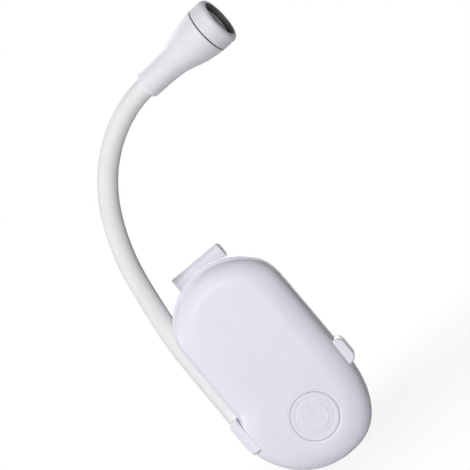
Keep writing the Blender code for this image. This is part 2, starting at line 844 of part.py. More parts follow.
def screw(name, x, z, y_head, length, facing):
    """A pan head screw along Y. Its head's outer face is at y_head, and facing is the way that face looks."""
    under = -SCREW_HEAD_THICKNESS
    profile = [
        (0, 0),
        (SCREW_HEAD_RADIUS - GAP, 0),
        (SCREW_HEAD_RADIUS, -GAP),
        (SCREW_HEAD_RADIUS, under),
        (SCREW_RADIUS, under),
        (SCREW_RADIUS, under - length + SCREW_RADIUS),
        (0, under - length),
    ]
    return turned(name, profile, (x, y_head, z), (0, facing, 0), BRIGHT_STEEL, 10)


def screws():
    depth = BACK_Y - SCREW_SINK + GAP + SCREW_HEAD_THICKNESS
    for number, (x, z) in enumerate(screw_places(), 1):
        screw(f"housing_screw_{number}", x, z, depth, SCREW_LENGTH, 1)
    front = BOARD_FRONT_Y - GAP - SCREW_HEAD_THICKNESS
    for number, (x, z) in enumerate(board_post_places(), 1):
        screw(f"board_screw_{number}", x, z, front, BOARD_SCREW_LENGTH - GAP, -1)


def circuit_board():
    board = box(
        "circuit_board",
        (-BOARD_WIDTH / 2, BOARD_FRONT_Y, BOTTOM_Z + BOARD_LOW),
        (BOARD_WIDTH / 2, BOARD_BACK_Y, BOTTOM_Z + BOARD_HIGH),
        BOARD,
    )
    holes = rods(
        "board_holes",
        along_y(board_post_places(), BOARD_FRONT_Y - OVERRUN, BOARD_BACK_Y + OVERRUN),
        SCREW_RADIUS + SCREW_GAP,
        10,
    )
    return cut(board, holes)


def tact_switch():
    half = SWITCH_WIDTH / 2
    body = box(
        "tact_switch",
        (-half, SWITCH_FRONT_Y, BUTTON_Z - half),
        (half, SWITCH_BACK_Y, BUTTON_Z + half),
        BLACK_PLASTIC,
    )
    well = rods(
        "switch_well",
        along_y([(0, BUTTON_Z)], SWITCH_FRONT_Y - OVERRUN, SWITCH_FRONT_Y + SWITCH_WELL_DEPTH),
        PLUNGER_RADIUS + GAP,
        14,
    )
    cut(body, well)
    start = FRONT_Y + BUTTON_THICKNESS + GAP
    plunger = [(0, PLUNGER_LENGTH), (PLUNGER_RADIUS, PLUNGER_LENGTH), (PLUNGER_RADIUS, 0), (0, 0)]
    return turned("switch_plunger", plunger, (0, start, BUTTON_Z), (0, 1, 0), BLACK_PLASTIC, 14)


def power_button():
    """A dished cap with a flange behind the cover that keeps it in its hole."""
    flange = WALL + GAP
    inside = BUTTON_RADIUS - 2 * WALL
    rim = flange + BUTTON_FLANGE_THICKNESS
    profile = [
        (0, 0),
        (BUTTON_RADIUS - BUTTON_EDGE, 0),
        (BUTTON_RADIUS, -BUTTON_EDGE),
        (BUTTON_RADIUS, -flange),
        (BUTTON_FLANGE_RADIUS, -flange),
        (BUTTON_FLANGE_RADIUS, -rim),
        (inside, -rim),
        (inside, -BUTTON_THICKNESS),
        (0, -BUTTON_THICKNESS),
    ]
    return turned(
        "power_button", profile, (0, FRONT_Y, BUTTON_Z), (0, -1, 0), BUTTON_PLASTIC, BUTTON_SIDES
    )


def battery(name, x, base, way):
    """An AAA cell. way is 1 where its positive tip is up, and -1 where it is down."""
    body = CELL_LENGTH - CELL_TIP_LENGTH
    profile = [
        (0, CELL_LENGTH),
        (CELL_TIP_RADIUS, CELL_LENGTH),
        (CELL_TIP_RADIUS, body),
        (CELL_RADIUS - CELL_RIM, body),
        (CELL_RADIUS, body - CELL_RIM),
        (CELL_RADIUS, CELL_RIM),
        (CELL_RADIUS - CELL_RIM, 0),
        (0, 0),
    ]
    start = base if way > 0 else base + CELL_LENGTH
    return turned(name, profile, (x, CELL_Y, start), (0, 0, way), CELL_WRAP, 20)


def contact_spring(name, x, base, way):
    """A conical spring that stands on its plate at base and narrows along way towards its cell."""
    points = []
    steps = CONTACT_TURNS * CONTACT_TURN_POINTS
    height = CONTACT_SPRING_HEIGHT - 2 * CONTACT_WIRE
    for k in range(steps + 1):
        share = k / steps
        turn = 2 * math.pi * CONTACT_TURNS * share
        radius = CONTACT_BASE_RADIUS + (CONTACT_TIP_RADIUS - CONTACT_BASE_RADIUS) * share
        rise = way * (CONTACT_WIRE + height * share)
        points.append((x + radius * math.cos(turn), CELL_Y + radius * math.sin(turn), base + rise))
    report_gap(name, points, CONTACT_WIRE, CONTACT_TURN_POINTS // 2)
    return wire(name, points, CONTACT_WIRE, CONTACT_NICKEL)


def battery_bay():
    side = CELL_SPACING / 2
    battery("battery_1", -side, MINUS_CELL_Z, 1)
    battery("battery_2", side, PLUS_CELL_Z, -1)
    contact_spring("negative_spring", -side, PLATE_TOP_Z + GAP, 1)
    contact_spring("bridge_spring", side, BRIDGE_Z - GAP, -1)
    half = PLATE_WIDTH / 2
    low = RIB_TOP_Z + GAP
    for name, x in (("negative_plate", -side), ("positive_plate", side)):
        box(name, (x - half, CELL_Y - half, low), (x + half, CELL_Y + half, PLATE_TOP_Z), CONTACT_NICKEL)
    box(
        "bridge_plate",
        (-side - half / 2, CELL_Y - half, BRIDGE_Z),
        (side + half / 2, CELL_Y + half, BRIDGE_Z + PLATE_THICKNESS),
        CONTACT_NICKEL,
    )


def jaw_pads():
    shape = rounded_rectangle(0, 0, PAD_WIDTH, PAD_HEIGHT, PAD_CORNER)
    prism("fixed_jaw_pad", shape, -PAD_THICKNESS, 0, PAD_RUBBER)
    prism("moving_jaw_pad", shape, GAP, GAP + PAD_THICKNESS, PAD_RUBBER)


def lever_stations():
    """(height, middle y, half width, thickness) up the lever, from the jaw's tip to the thumb bar."""
    tip = BOTTOM_Z + LEVER_JAW_TIP
    jaw_y = JAW_FRONT_Y + LEVER_THICKNESS / 2
    jaw = LEVER_JAW_WIDTH / 2
    hinge = BARREL_LENGTH / 2 - WALL
    thumb = THUMB_BAR_WIDTH / 2
    stations = [
        (tip, jaw_y + LEVER_THICKNESS / 2, jaw * 0.62, LEVER_THICKNESS * 0.6),
        (tip + LEVER_THICKNESS / 2, jaw_y + LEVER_THICKNESS / 4, jaw * 0.8, LEVER_THICKNESS * 0.9),
        (-PAD_HEIGHT / 2 - GAP, jaw_y, jaw * 0.93, LEVER_THICKNESS),
        (PAD_HEIGHT / 2 + GAP, jaw_y, jaw * 1.15, LEVER_THICKNESS),
        (PIN_Z - 2 * BARREL_RADIUS, (jaw_y + PIN_Y) / 2, hinge * 0.85, LEVER_THICKNESS),
        (PIN_Z - BARREL_RADIUS, PIN_Y, hinge * 0.97, LEVER_THICKNESS),
        (PIN_Z, PIN_Y + LEVER_CHAMFER, hinge, LEVER_THICKNESS),
    ]
    steps = 7
    rise = THUMB_BAR_Z - PIN_Z
    run = THUMB_BAR_Y - PIN_Y - LEVER_CHAMFER
    for k in range(1, steps + 1):
        share = k / steps
        half = hinge + (thumb - hinge) * ease(min(1, share * 1.3))
        stations.append((PIN_Z + rise * share, PIN_Y + LEVER_CHAMFER + run * share, half, LEVER_THICKNESS))
    return stations


def lever_section(z, y, half, thickness):
    """A flat bar's section with chamfered edges."""
    chamfer = min(LEVER_CHAMFER, thickness / 3)
    deep = thickness / 2
    corners = (
        (half - chamfer, -deep),
        (half, -deep + chamfer),
        (half, deep - chamfer),
        (half - chamfer, deep),
    )
    points = [(LEVER_X + x, y + dy, z) for x, dy in corners]
    return points + [(LEVER_X - x, y + dy, z) for x, dy in reversed(corners)]


def clip_lever():
    lever = loft("clip_lever", [lever_section(*row) for row in lever_stations()], LEVER_PLASTIC)
    half = BARREL_LENGTH / 2
    barrel = rods(
        "lever_barrel",
        [((LEVER_X - half, PIN_Y, PIN_Z), (LEVER_X + half, PIN_Y, PIN_Z))],
        BARREL_RADIUS,
        20,
    )
    thumb = THUMB_BAR_WIDTH / 2
    bar = rods(
        "thumb_bar",
        [((LEVER_X - thumb, THUMB_BAR_Y, THUMB_BAR_Z), (LEVER_X + thumb, THUMB_BAR_Y, THUMB_BAR_Z))],
        THUMB_BAR_RADIUS,
        20,
    )
    round_edges(bar, GRIP_RIB_RADIUS)
    join(lever, barrel, bar, grip_ribs())
    bore = rods(
        "barrel_bore",
        [((LEVER_X - half - OVERRUN, PIN_Y, PIN_Z), (LEVER_X + half + OVERRUN, PIN_Y, PIN_Z))],
        PIN_RADIUS + RUNNING_GAP,
    )
    window = box(
        "spring_window",
        (LEVER_X - SPRING_WINDOW / 2, BACK_Y, PIN_Z - 2 * BARREL_RADIUS),
        (LEVER_X + SPRING_WINDOW / 2, PIN_Y + 2 * BARREL_RADIUS, PIN_Z + 2 * BARREL_RADIUS),
    )
    recess = prism(
        "lever_recess",
        rounded_rectangle(0, 0, PAD_WIDTH + 2 * GAP, PAD_HEIGHT + 2 * GAP, PAD_CORNER),
        0,
        PAD_THICKNESS + 2 * GAP,
    )
    return cut(lever, bore, window, recess)


def grip_ribs():
    """Ridges across the thumb's back."""
    slope = Vector((0, THUMB_BAR_Y - PIN_Y, THUMB_BAR_Z - PIN_Z)).normalized()
    out = Vector((0, slope.z, -slope.y))
    half = THUMB_BAR_WIDTH / 2 - 2 * LEVER_CHAMFER
    ends = []
    for k in range(GRIP_RIBS):
        down = slope * (THUMB_BAR_RADIUS + GRIP_RIB_PITCH * (k + 1))
        middle = Vector((LEVER_X, THUMB_BAR_Y, THUMB_BAR_Z)) - down + out * LEVER_THICKNESS / 2
        across = Vector((half, 0, 0))
        ends.append((middle - across, middle + across))
    return rods("grip_ribs", ends, GRIP_RIB_RADIUS, 8)


def clip_pin():
    start = SOCKET_OUT_X + PIN_END_WALL
    end = LUG_OUT_X - PIN_END_WALL - GAP
    length = end - start
    edge = PIN_RADIUS / 4
    profile = [
        (0, length),
        (PIN_RADIUS - edge, length),
        (PIN_RADIUS, length - edge),
        (PIN_RADIUS, edge),
        (PIN_RADIUS - edge, 0),
        (0, 0),
    ]
    return turned("clip_pin", profile, (start, PIN_Y, PIN_Z), (1, 0, 0), BRIGHT_STEEL, 16)


def clip_spring():
    """A torsion spring: one leg is hooked into the housing's back, the other pushes the thumb arm away from it."""
    radius = SPRING_COIL_RADIUS
    start = LEVER_X - SPRING_PITCH * SPRING_TURNS / 2
    steps = SPRING_TURNS * SPRING_TURN_POINTS
    points = []
    for k in range(steps + 1):
        turn = math.pi - 2 * math.pi * SPRING_TURNS * k / steps
        x = start + SPRING_PITCH * SPRING_TURNS * k / steps
        points.append((x, PIN_Y + radius * math.cos(turn), PIN_Z + radius * math.sin(turn)))
    report_gap("clip_spring", points, SPRING_WIRE, SPRING_TURN_POINTS // 2)
    hook_z = PIN_Z - SPRING_HOLE_DROP
    hook = [(start, BACK_Y - SPRING_HOLE_DEPTH, hook_z), (start, PIN_Y - radius, hook_z)]
    slope = (THUMB_BAR_Y - PIN_Y - LEVER_CHAMFER) / (THUMB_BAR_Z - PIN_Z)
    face_y = PIN_Y + LEVER_CHAMFER + slope * SPRING_LEG - LEVER_THICKNESS / 2
    leg = (points[-1][0], face_y - GAP - SPRING_WIRE, PIN_Z + SPRING_LEG)
    return wire("clip_spring", [*hook, *points, leg], SPRING_WIRE, BRIGHT_STEEL)


def neck_bend(length):
    """(turn to the right, lean to the front) of the neck at a length from its base, in radians."""
    share = max(0.0, (length - NECK_STRAIGHT) / (NECK_LENGTH - NECK_STRAIGHT))
    share = min(share, 1.0)
    turn = math.radians(NECK_TURN_DEG) * share**NECK_TURN_POWER
    lean = math.radians(NECK_LEAN_DEG) * share**NECK_LEAN_POWER
    return turn, lean


def neck_direction(length):
    turn, lean = neck_bend(length)
    return Vector((math.sin(turn) * math.cos(lean), -math.sin(lean), math.cos(turn) * math.cos(lean)))


def neck_point(length):
    """Where the neck's middle line is, summed over short steps."""
    steps = 80
    point = Vector((NECK_X, NECK_Y, NECK_BASE_Z))
    inside = min(max(length, 0.0), NECK_LENGTH)
    for k in range(steps):
        point += neck_direction(inside * (k + 0.5) / steps) * (inside / steps)
    return point + neck_direction(inside) * (length - inside)


def neck_ring(length, radius, ahead=0.0):
    """A ring round the neck's middle line, carried ahead along the line's direction there."""
    direction = neck_direction(length)
    side = direction.cross(Vector((0, 1, 0))).normalized()
    other = direction.cross(side)
    middle = neck_point(length) + direction * ahead
    ring = []
    for k in range(NECK_SIDES):
        turn = 2 * math.pi * k / NECK_SIDES
        ring.append(middle + side * radius * math.cos(turn) + other * radius * math.sin(turn))
    return ring


def neck_joint(number):
    """Length from the neck's base to the joint below link number."""
    return 0.0 if number == 1 else NECK_FIRST_LINK + NECK_LINK * (number - 2)


def ball_rings(length, radius, low, high):
    """Rings on a ball about the middle line, between two ring radii."""
    rings = []
    for k in range(BALL_STEPS + 1):
        ring_radius = low + (high - low) * k / BALL_STEPS
        rings.append(neck_ring(length, ring_radius, math.sqrt(radius**2 - ring_radius**2)))
    return rings


def neck_sleeve(number):
    """One link of the sleeve. It starts with a cup round the ball of the link below, and ends in a ball."""
    start, end = neck_joint(number), neck_joint(number + 1)
    cup = NECK_RADIUS + GAP
    stations = 2 if number > 1 else 4
    lengths = [start + (end - start) * (k + 1) / (stations + 1) for k in range(stations)]
    rings = ball_rings(start, cup, NECK_BORE_RADIUS, NECK_RADIUS)
    rings += [neck_ring(length, NECK_RADIUS) for length in lengths]
    if number < NECK_LINKS:
        rings += ball_rings(end, NECK_RADIUS, NECK_RADIUS - GAP / 10, NECK_BORE_RADIUS)
    else:
        reach = HEAD_TAIL_BORE - 2 * GAP
        rings.append(neck_ring(end, NECK_RADIUS, reach))
        rings.append(neck_ring(end, NECK_BORE_RADIUS, reach))
    rings += [neck_ring(length, NECK_BORE_RADIUS) for length in reversed(lengths)]
    return loft(f"neck_sleeve_{number}", rings, SLEEVE, closed=True)


def neck_core(number):
    """The steel core inside one link of the sleeve."""
    start, end = neck_joint(number), neck_joint(number + 1)
    radius = NECK_BORE_RADIUS - GAP
    ahead = NECK_RADIUS + GAP
    past = math.sqrt(NECK_RADIUS**2 - radius**2) if number < NECK_LINKS else 2 * HEAD_TAIL_BORE
    points = [neck_point(start) + neck_direction(start) * ahead]
    stations = 1 if number > 1 else 3
    for k in range(stations):
        points.append(neck_point(start + (end - start) * (k + 1) / (stations + 1)))
    points.append(neck_point(end))
    points.append(neck_point(end) + neck_direction(end) * past)
    return wire(f"neck_core_{number}", points, radius, BRIGHT_STEEL, 2)


def neck_ferrule():
    """The gooseneck's crimped end, with the ball that the first link turns on."""
    radius = NECK_RADIUS
    profile = [(0, radius)]
    for k in range(1, 5):
        turn = arc_share(k, 4)
        profile.append((radius * math.sin(turn), radius * math.cos(turn)))
    profile += [
        (radius, -FERRULE_COLLAR),
        (FERRULE_RADIUS, -FERRULE_COLLAR),
        (FERRULE_RADIUS, -FERRULE_LENGTH),
        (0, -FERRULE_LENGTH),
    ]
    return turned("neck_ferrule", profile, (NECK_X, NECK_Y, NECK_BASE_Z), (0, 0, 1), BRIGHT_STEEL, 16)


def head_piece(name, profile, material, ring=False, steps=TURN_STEPS):
    return turned(
        name, profile, neck_point(NECK_LENGTH), neck_direction(NECK_LENGTH), material, steps, ring
    )


def head_shell():
    outer = [(HEAD_RADIUS * radius, HEAD_SHELL_LENGTH * height) for height, radius in HEAD_SHARES]
    outer.append((HEAD_RADIUS - GAP, HEAD_SHELL_LENGTH))
    seat = spigot_radius() + GAP
    tail = NECK_RADIUS + GAP
    core = NECK_BORE_RADIUS + GAP
    ledge = seat - WALL
    inner = [
        (tail, 0),
        (tail, HEAD_TAIL_BORE),
        (core, HEAD_TAIL_BORE),
        (core, HEAD_HOLLOW_START),
        (ledge, LEDGE_START),
        (seat, LEDGE_START),
        (seat, HEAD_SHELL_LENGTH),
    ]
    return head_piece("head_shell", outer[::-1] + inner, PLASTIC, ring=True)


def spigot_radius():
    return HEAD_RADIUS - GAP - HEAD_WALL


def head_ring():
    """The front ring. Its spigot plugs into the shell, and its ledge carries the lens."""
    spigot = spigot_radius()
    bore = spigot - SPIGOT_WALL
    lens_bore = LENS_RADIUS + GAP
    ledge = HEAD_LENGTH - LENS_RECESS - LENS_THICKNESS - GAP
    profile = []
    for k in range(RING_EDGE_STEPS + 1):
        turn = arc_share(k, RING_EDGE_STEPS)
        inward, down = RING_EDGE * (1 - math.sin(turn)), RING_EDGE * (1 - math.cos(turn))
        profile.append((HEAD_RADIUS - inward, HEAD_LENGTH - down))
    profile += [
        (HEAD_RADIUS, HEAD_RING_START),
        (spigot, HEAD_RING_START),
        (spigot, HEAD_RING_START - SPIGOT_LENGTH),
        (bore, HEAD_RING_START - SPIGOT_LENGTH),
        (bore, ledge),
        (lens_bore, ledge),
        (lens_bore, HEAD_LENGTH),
    ]
    return head_piece("head_ring", profile, PLASTIC, ring=True)


def head_gasket():
    gap = PARTING_GAP
    high, low = HEAD_RING_START - gap, HEAD_SHELL_LENGTH + gap
    out, inside = HEAD_RADIUS - GASKET_RECESS, spigot_radius() + GAP
    profile = [(out, high), (out, low), (inside, low), (inside, high)]
    return head_piece("head_gasket", profile, GASKET_RUBBER, ring=True)


def lens():
    base = HEAD_LENGTH - LENS_RECESS - LENS_THICKNESS
    profile = [(0, base + LENS_THICKNESS + LENS_CROWN)]
    for k in range(1, 4):
        share = k / 3
        profile.append((LENS_RADIUS * share, base + LENS_THICKNESS + LENS_CROWN * (1 - share**2)))
    profile += [(LENS_RADIUS, base), (0, base)]
    return head_piece("lens", profile, LENS)


def lamp():
    """The LED board on the shell's ledge, the LED and its reflector."""
    low = LEDGE_START + GAP
    high = low + LED_BOARD_THICKNESS
    radius = spigot_radius() - GAP
    head_piece("led_board", [(0, high), (radius, high), (radius, low), (0, low)], BOARD)
    base = high + GAP
    dome = base + LED_BASE
    profile = [(0, dome + LED_RADIUS)]
    for k in range(1, 4):
        turn = arc_share(k, 3)
        profile.append((LED_RADIUS * math.sin(turn), dome + LED_RADIUS * math.cos(turn)))
    profile += [(LED_RADIUS, base), (0, base)]
    head_piece("led", profile, LED_RESIN, steps=16)
    out = spigot_radius() - SPIGOT_WALL - GAP
    throat = LED_RADIUS + GAP
    mouth = out - REFLECTOR_WALL
    top = HEAD_LENGTH - LENS_RECESS - LENS_THICKNESS - GAP
    foot = high + GAP
    profile = [
        (out, top),
        (out, top - LED_BASE),
        (throat + REFLECTOR_WALL, foot),
        (throat, foot),
        (throat + (mouth - throat) * REFLECTOR_BEND_OUT, foot + (top - foot) * REFLECTOR_BEND_UP),
        (mouth, top),
    ]
    head_piece("reflector", profile, MIRROR_FINISH, ring=True, steps=20)


def neck():
    neck_ferrule()
    for number in range(1, NECK_LINKS + 1):
        neck_sleeve(number)
        neck_core(number)


def print_joints():
    """Prints what a maker of the joints needs: the mounts' and hinges' places and directions."""
    print("pin", (LEVER_X, PIN_Y, PIN_Z))
    for number in range(1, NECK_LINKS + 1):
        length = neck_joint(number)
        turn, lean = neck_bend(length)
        normal = neck_direction(length).cross(Vector((0, 1, 0))).normalized()
        print("neck joint", number, tuple(neck_point(length)), tuple(normal), turn, lean)
    print("head", tuple(neck_point(NECK_LENGTH)), tuple(neck_direction(NECK_LENGTH)))


def build():
    front_cover()
    back_shell()
    battery_door()
    power_button()
    tact_switch()
    circuit_board()
    screws()
    battery_bay()
    jaw_pads()
    clip_lever()
    clip_pin()
    clip_spring()
    neck()
    head_shell()
    head_ring()
    head_gasket()
    lens()
    lamp()
    print_joints()


build()
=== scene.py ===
"""The look of the clip-on reading light.

Fine surfaces with moulded materials stand for the solids, in studio light like the photograph's
and with a camera where the photograph was taken from.
"""

import math

import bmesh
import bpy
from mathutils import Matrix, Vector


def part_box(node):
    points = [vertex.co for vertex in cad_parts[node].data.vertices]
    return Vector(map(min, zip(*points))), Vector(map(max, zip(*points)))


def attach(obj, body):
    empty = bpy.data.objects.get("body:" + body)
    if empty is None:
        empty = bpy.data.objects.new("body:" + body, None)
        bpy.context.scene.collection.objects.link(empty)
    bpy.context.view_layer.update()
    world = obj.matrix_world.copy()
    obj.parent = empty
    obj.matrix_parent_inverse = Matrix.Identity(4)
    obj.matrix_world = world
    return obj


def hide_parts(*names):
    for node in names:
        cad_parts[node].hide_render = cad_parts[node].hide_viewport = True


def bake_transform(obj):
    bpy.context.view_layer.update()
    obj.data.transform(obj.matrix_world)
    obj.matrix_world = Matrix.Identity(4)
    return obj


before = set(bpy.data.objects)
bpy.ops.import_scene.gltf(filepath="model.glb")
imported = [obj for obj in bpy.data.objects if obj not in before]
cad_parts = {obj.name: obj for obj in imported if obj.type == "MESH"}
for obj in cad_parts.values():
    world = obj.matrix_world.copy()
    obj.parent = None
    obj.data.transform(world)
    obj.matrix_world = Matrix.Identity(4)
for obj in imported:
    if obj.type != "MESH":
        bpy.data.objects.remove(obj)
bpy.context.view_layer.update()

# Sizes in metres, angles and curves that the surfaces share with the solids
GAP = 0.0003
NOTCH_GAP = 0.0001
PARTING_GAP = 0.0002
OVERRUN = 0.002
WALL = 0.0015
TOP_Z = 0.0695
BOTTOM_Z = -0.0097
HALF_WIDTH = 0.021
TOP_ARC_HEIGHT = 0.0182
BOTTOM_ARC_HEIGHT = 0.032
FOOT_POWER = 2.6
FLARE_HALF_WIDTH = 0.0247
FLARE_ARC_HEIGHT = 0.0253
FLARE_RISE = 0.0084
BACK_Y = -0.0006
PART_Y = -0.0108
FRONT_Y = -0.0174
BACK_ROUND = 0.0025
COVER_STEP = 0.0004
COVER_SKIRT = 0.001
COVER_ROUND = 0.0085
COVER_DROP = 0.0009
COVER_DEPTH = PART_Y - COVER_SKIRT - FRONT_Y
LEDGE_SLOPE = 0.0008
NECK_RADIUS = 0.0038
GROOVE_GAP = 0.0004
NECK_BORE = 0.0022
NECK_X = -HALF_WIDTH
NECK_Y = -0.006
NECK_BASE_Z = 0.0243
NECK_STRAIGHT = 0.0061
NECK_FIRST_LINK = 0.0386
NECK_LINK = 0.0126
NECK_LINKS = 8
NECK_TURN = math.radians(88)
NECK_TURN_POWER = 2.24
NECK_LEAN = math.radians(12.8)
NECK_LEAN_POWER = 3
NECK_LENGTH = NECK_FIRST_LINK + (NECK_LINKS - 1) * NECK_LINK
SOCKET_LOW = 0.0103
SOCKET_TOP = 0.0236
SOCKET_FLOOR = 0.0123
SOCKET_BORE = 0.0029
SOCKET_OUT = -0.0249
SOCKET_FRONT_WIDTH = 0.0036
SOCKET_BACK_WIDTH = 0.0088
SOCKET_RAISE = 0.0036
SOCKET_CORNER = 0.0018
SOCKET_EDGE = 0.0009
SOCKET_IN = SOCKET_OUT + SOCKET_FRONT_WIDTH
LUG_IN = 0.0193
LUG_OUT = 0.0231
LUG_LOW = 0.0133
LUG_HIGH = 0.0232
LUG_RAISE = 0.003
LUG_CORNER = 0.0026
EAR_RIGHT = LUG_IN - 0.0002
LEVER_X = -0.0005
EAR_IN = 2 * LEVER_X - EAR_RIGHT
EAR_RADIUS = 0.0033
PIN_Y = 0.003
PIN_Z = 0.0182
PIN_RADIUS = 0.00125
PIN_WALL = 0.001
BORE_GAP = 0.0001
SPRING_HALF = 0.0035
SPRING_HOLE_Z = 0.014
SPRING_HOLE_RADIUS = 0.0007
SPRING_HOLE_DEPTH = 0.0012
WINDOW_HALF = 0.0062
BARREL_RADIUS = 0.0028
BARREL_LENGTH = EAR_RIGHT - EAR_IN - 0.0006
LEVER_THICKNESS = 0.0024
LEVER_CHAMFER = 0.0006
THUMB_Y = 0.0135
THUMB_Z = 0.0697
THUMB_RADIUS = 0.0028
THUMB_HALF = 0.0105
THUMB_DRAFT = 0.0005
THUMB_FACE = 0.0075
JAW_FRONT_Y = 0.0009
JAW_HALF = 0.0105
JAW_FLAT = 0.0048
PAD_WIDTH = 0.015
PAD_HEIGHT = 0.009
PAD_THICKNESS = 0.0012
PAD_CORNER = 0.002
PAD_PITCH = 0.0017
BUTTON_Z = 0.0078
BUTTON_RADIUS = 0.0082
SCREW_PLACES = ((-0.0148, 0.053), (0.0148, 0.053), (-0.0112, -0.0004), (0.0112, -0.0004))
SCREW_HEAD = 0.0018
SINK_DEPTH = 0.0018
BOARD_SCREW_PLACES = ((-0.0068, -0.0014), (0.0068, -0.0014))
BOARD_SCREW_Y = -0.0133
DOOR_HALF = 0.0112
DOOR_FLANGE = 0.0009
DOOR_LOW = 0.0188
DOOR_FLANGE_Y = -0.0023
DOOR_LIP_Y = -0.0014
DOOR_PLAY = 0.0002
DOOR_GRIP_Z = DOOR_LOW + 0.0045
DOOR_GRIP_PITCH = 0.0022
GRIP_RADIUS = 0.0005
RIB_PITCH = 0.0028
CELL_X = 0.0056
CELL_Y = -0.00785
HEAD_RADIUS = 0.0086
HEAD_SHELL_LENGTH = 0.028
HEAD_LENGTH = 0.0345
LEDGE_START = 0.024
SPIGOT_RADIUS = 0.007
LENS_RADIUS = 0.0062
LENS_BASE = HEAD_LENGTH - 0.0027
WINDOW_RADIUS = 0.0061

# Sizes that only the surfaces have. CLEAR keeps faces out of one plane at the thumb bar's joins.
CLEAR = 0.00003
BUTTON_GAP = 0.00008
LUG_GAP = 0.00006
LUG_EDGE = 0.0007
SHELL_END = 0.02822
HEAD_BORE = 0.0073
HEAD_MOUTH = 0.0068
SLEEVE_TAPER = 0.00025
TAPER_START = 0.02
TAPER_RUN = 0.035
SLEEVE_START = -0.006
SLEEVE_END = NECK_LENGTH + 0.004
SLEEVE_PITCH = 0.0008
# Half the length of a sleeve's bend, and how far the first bend lies beyond its joint. The sleeves
# work out these bend ends but do not use them.
BEND_HALF = 0.0058
FIRST_BEND = 0.004
# The sleeve's bows beside the path of the solids: start and end along the neck, and how far out
BOWS = ((0.03, 0.066, -0.0004), (0.062, 0.116, 0.0004))
# Joints whose bend ends are listed from the far link first, as the sleeve comes apart at the upper
# limits if not; nothing uses these ends
FAR_LINK_FIRST = (3,)

SCENE = bpy.context.scene
PARTS = bpy.data.collections.new("light")
SCENE.collection.children.link(PARTS)


# ---- materials ----


def connect(tree, value, target):
    if isinstance(value, bpy.types.NodeSocket):
        tree.links.new(value, target)
    else:
        target.default_value = value


def add_node(tree, kind, *inputs, **values):
    """Makes a node. Its first inputs are given in order, and others, or settings, by name."""
    node = tree.nodes.new("ShaderNode" + kind)
    for key, value in values.items():
        target = node.inputs.get(key.replace("_", " "))
        if target is None:
            setattr(node, key, value)
        else:
            connect(tree, value, target)
    for value, target in zip(inputs, node.inputs):
        connect(tree, value, target)
    return node


def new_material(name, **values):
    """Makes a material, with values for the inputs of its Principled shader."""
    material = bpy.data.materials.new(name)
    material.use_nodes = True
    tree = material.node_tree
    add_node(tree, "TexCoord")
    for key, value in values.items():
        surface(tree, key.replace("_", " ")).default_value = value
    return material, tree


def surface(tree, name):
    return tree.nodes["Principled BSDF"].inputs[name]


def object_space(tree):
    return tree.nodes["Texture Coordinate"].outputs["Object"]


def noise(tree, scale, detail=2.0, rough=0.5, space=None):
    space = space or object_space(tree)
    node = add_node(tree, "TexNoise", space, Scale=scale, Detail=detail, Roughness=rough)
    return node.outputs["Fac"]


def spread(tree, value, low=0.0, high=1.0, start=0.3, end=0.7):
    """Maps start to end, the middle range of a noise, onto low to high."""
    limits = dict(From_Min=start, From_Max=end, To_Min=low, To_Max=high)
    return add_node(tree, "MapRange", value, **limits).outputs["Result"]


def mix_colour(tree, share, *colours):
    node = add_node(tree, "Mix", share, data_type="RGBA")
    targets = [socket for socket in node.inputs if socket.type == "RGBA"]
    for value, target in zip(colours, targets):
        connect(tree, (*value, 1.0) if isinstance(value, tuple) else value, target)
    return [socket for socket in node.outputs if socket.type == "RGBA"][0]


def stain(tree, share, first, second):
    """Lets the base colour go from first to second."""
    tree.links.new(mix_colour(tree, share, first, second), surface(tree, "Base Color"))


def scuff(tree, share, low, high):
    """Lets the roughness go from low to high."""
    tree.links.new(spread(tree, share, low, high), surface(tree, "Roughness"))


def bump(tree, height, strength, distance, after=None):
    """Adds relief, on top of an earlier one where that is given."""
    node = add_node(tree, "Bump", Height=height, Strength=strength, Distance=distance)
    if after is not None:
        tree.links.new(after, node.inputs["Normal"])
    tree.links.new(node.outputs["Normal"], surface(tree, "Normal"))
    return node.outputs["Normal"]


def moulded(name, colour, dark, rough, grain, gloss=0.25, coat=0.0):
    """Moulded plastic: drifts of colour, marks in the gloss, a fine grain and a slight sink."""
    material, tree = new_material(
        name, IOR=1.5, Specular_IOR_Level=gloss, Coat_Weight=coat, Coat_Roughness=0.2
    )
    stain(tree, spread(tree, noise(tree, 60, 3)), colour, dark)
    scuff(tree, noise(tree, 240, 4, 0.55), rough - 0.02, rough + 0.04)
    sink = bump(tree, noise(tree, 90, 1), 0.12, 0.0006)
    bump(tree, noise(tree, 5200, 2, 0.6), grain, 0.00006, sink)
    return material


def silicone(name, colour, dark):
    """Matt soft sleeve: low gloss, shallow dents and dust-fine pits."""
    material, tree = new_material(name, IOR=1.42, Specular_IOR_Level=0.15)
    stain(tree, spread(tree, noise(tree, 110, 4)), colour, dark)
    scuff(tree, noise(tree, 500, 4, 0.6), 0.48, 0.62)
    dents = bump(tree, noise(tree, 300, 2), 0.15, 0.0004)
    bump(tree, noise(tree, 4200, 3, 0.7), 0.25, 0.00008, dents)
    return material


def rubber(name, colour, rough=0.75):
    """Matt rubber or dull plastic, with paler drifts and fine pits."""
    material, tree = new_material(name)
    light = tuple(min(1.0, c * 1.25) for c in colour)
    stain(tree, spread(tree, noise(tree, 400, 4)), colour, light)
    scuff(tree, noise(tree, 900, 3), rough - 0.1, rough + 0.1)
    bump(tree, noise(tree, 3500, 3, 0.7), 0.35, 0.0001)
    return material


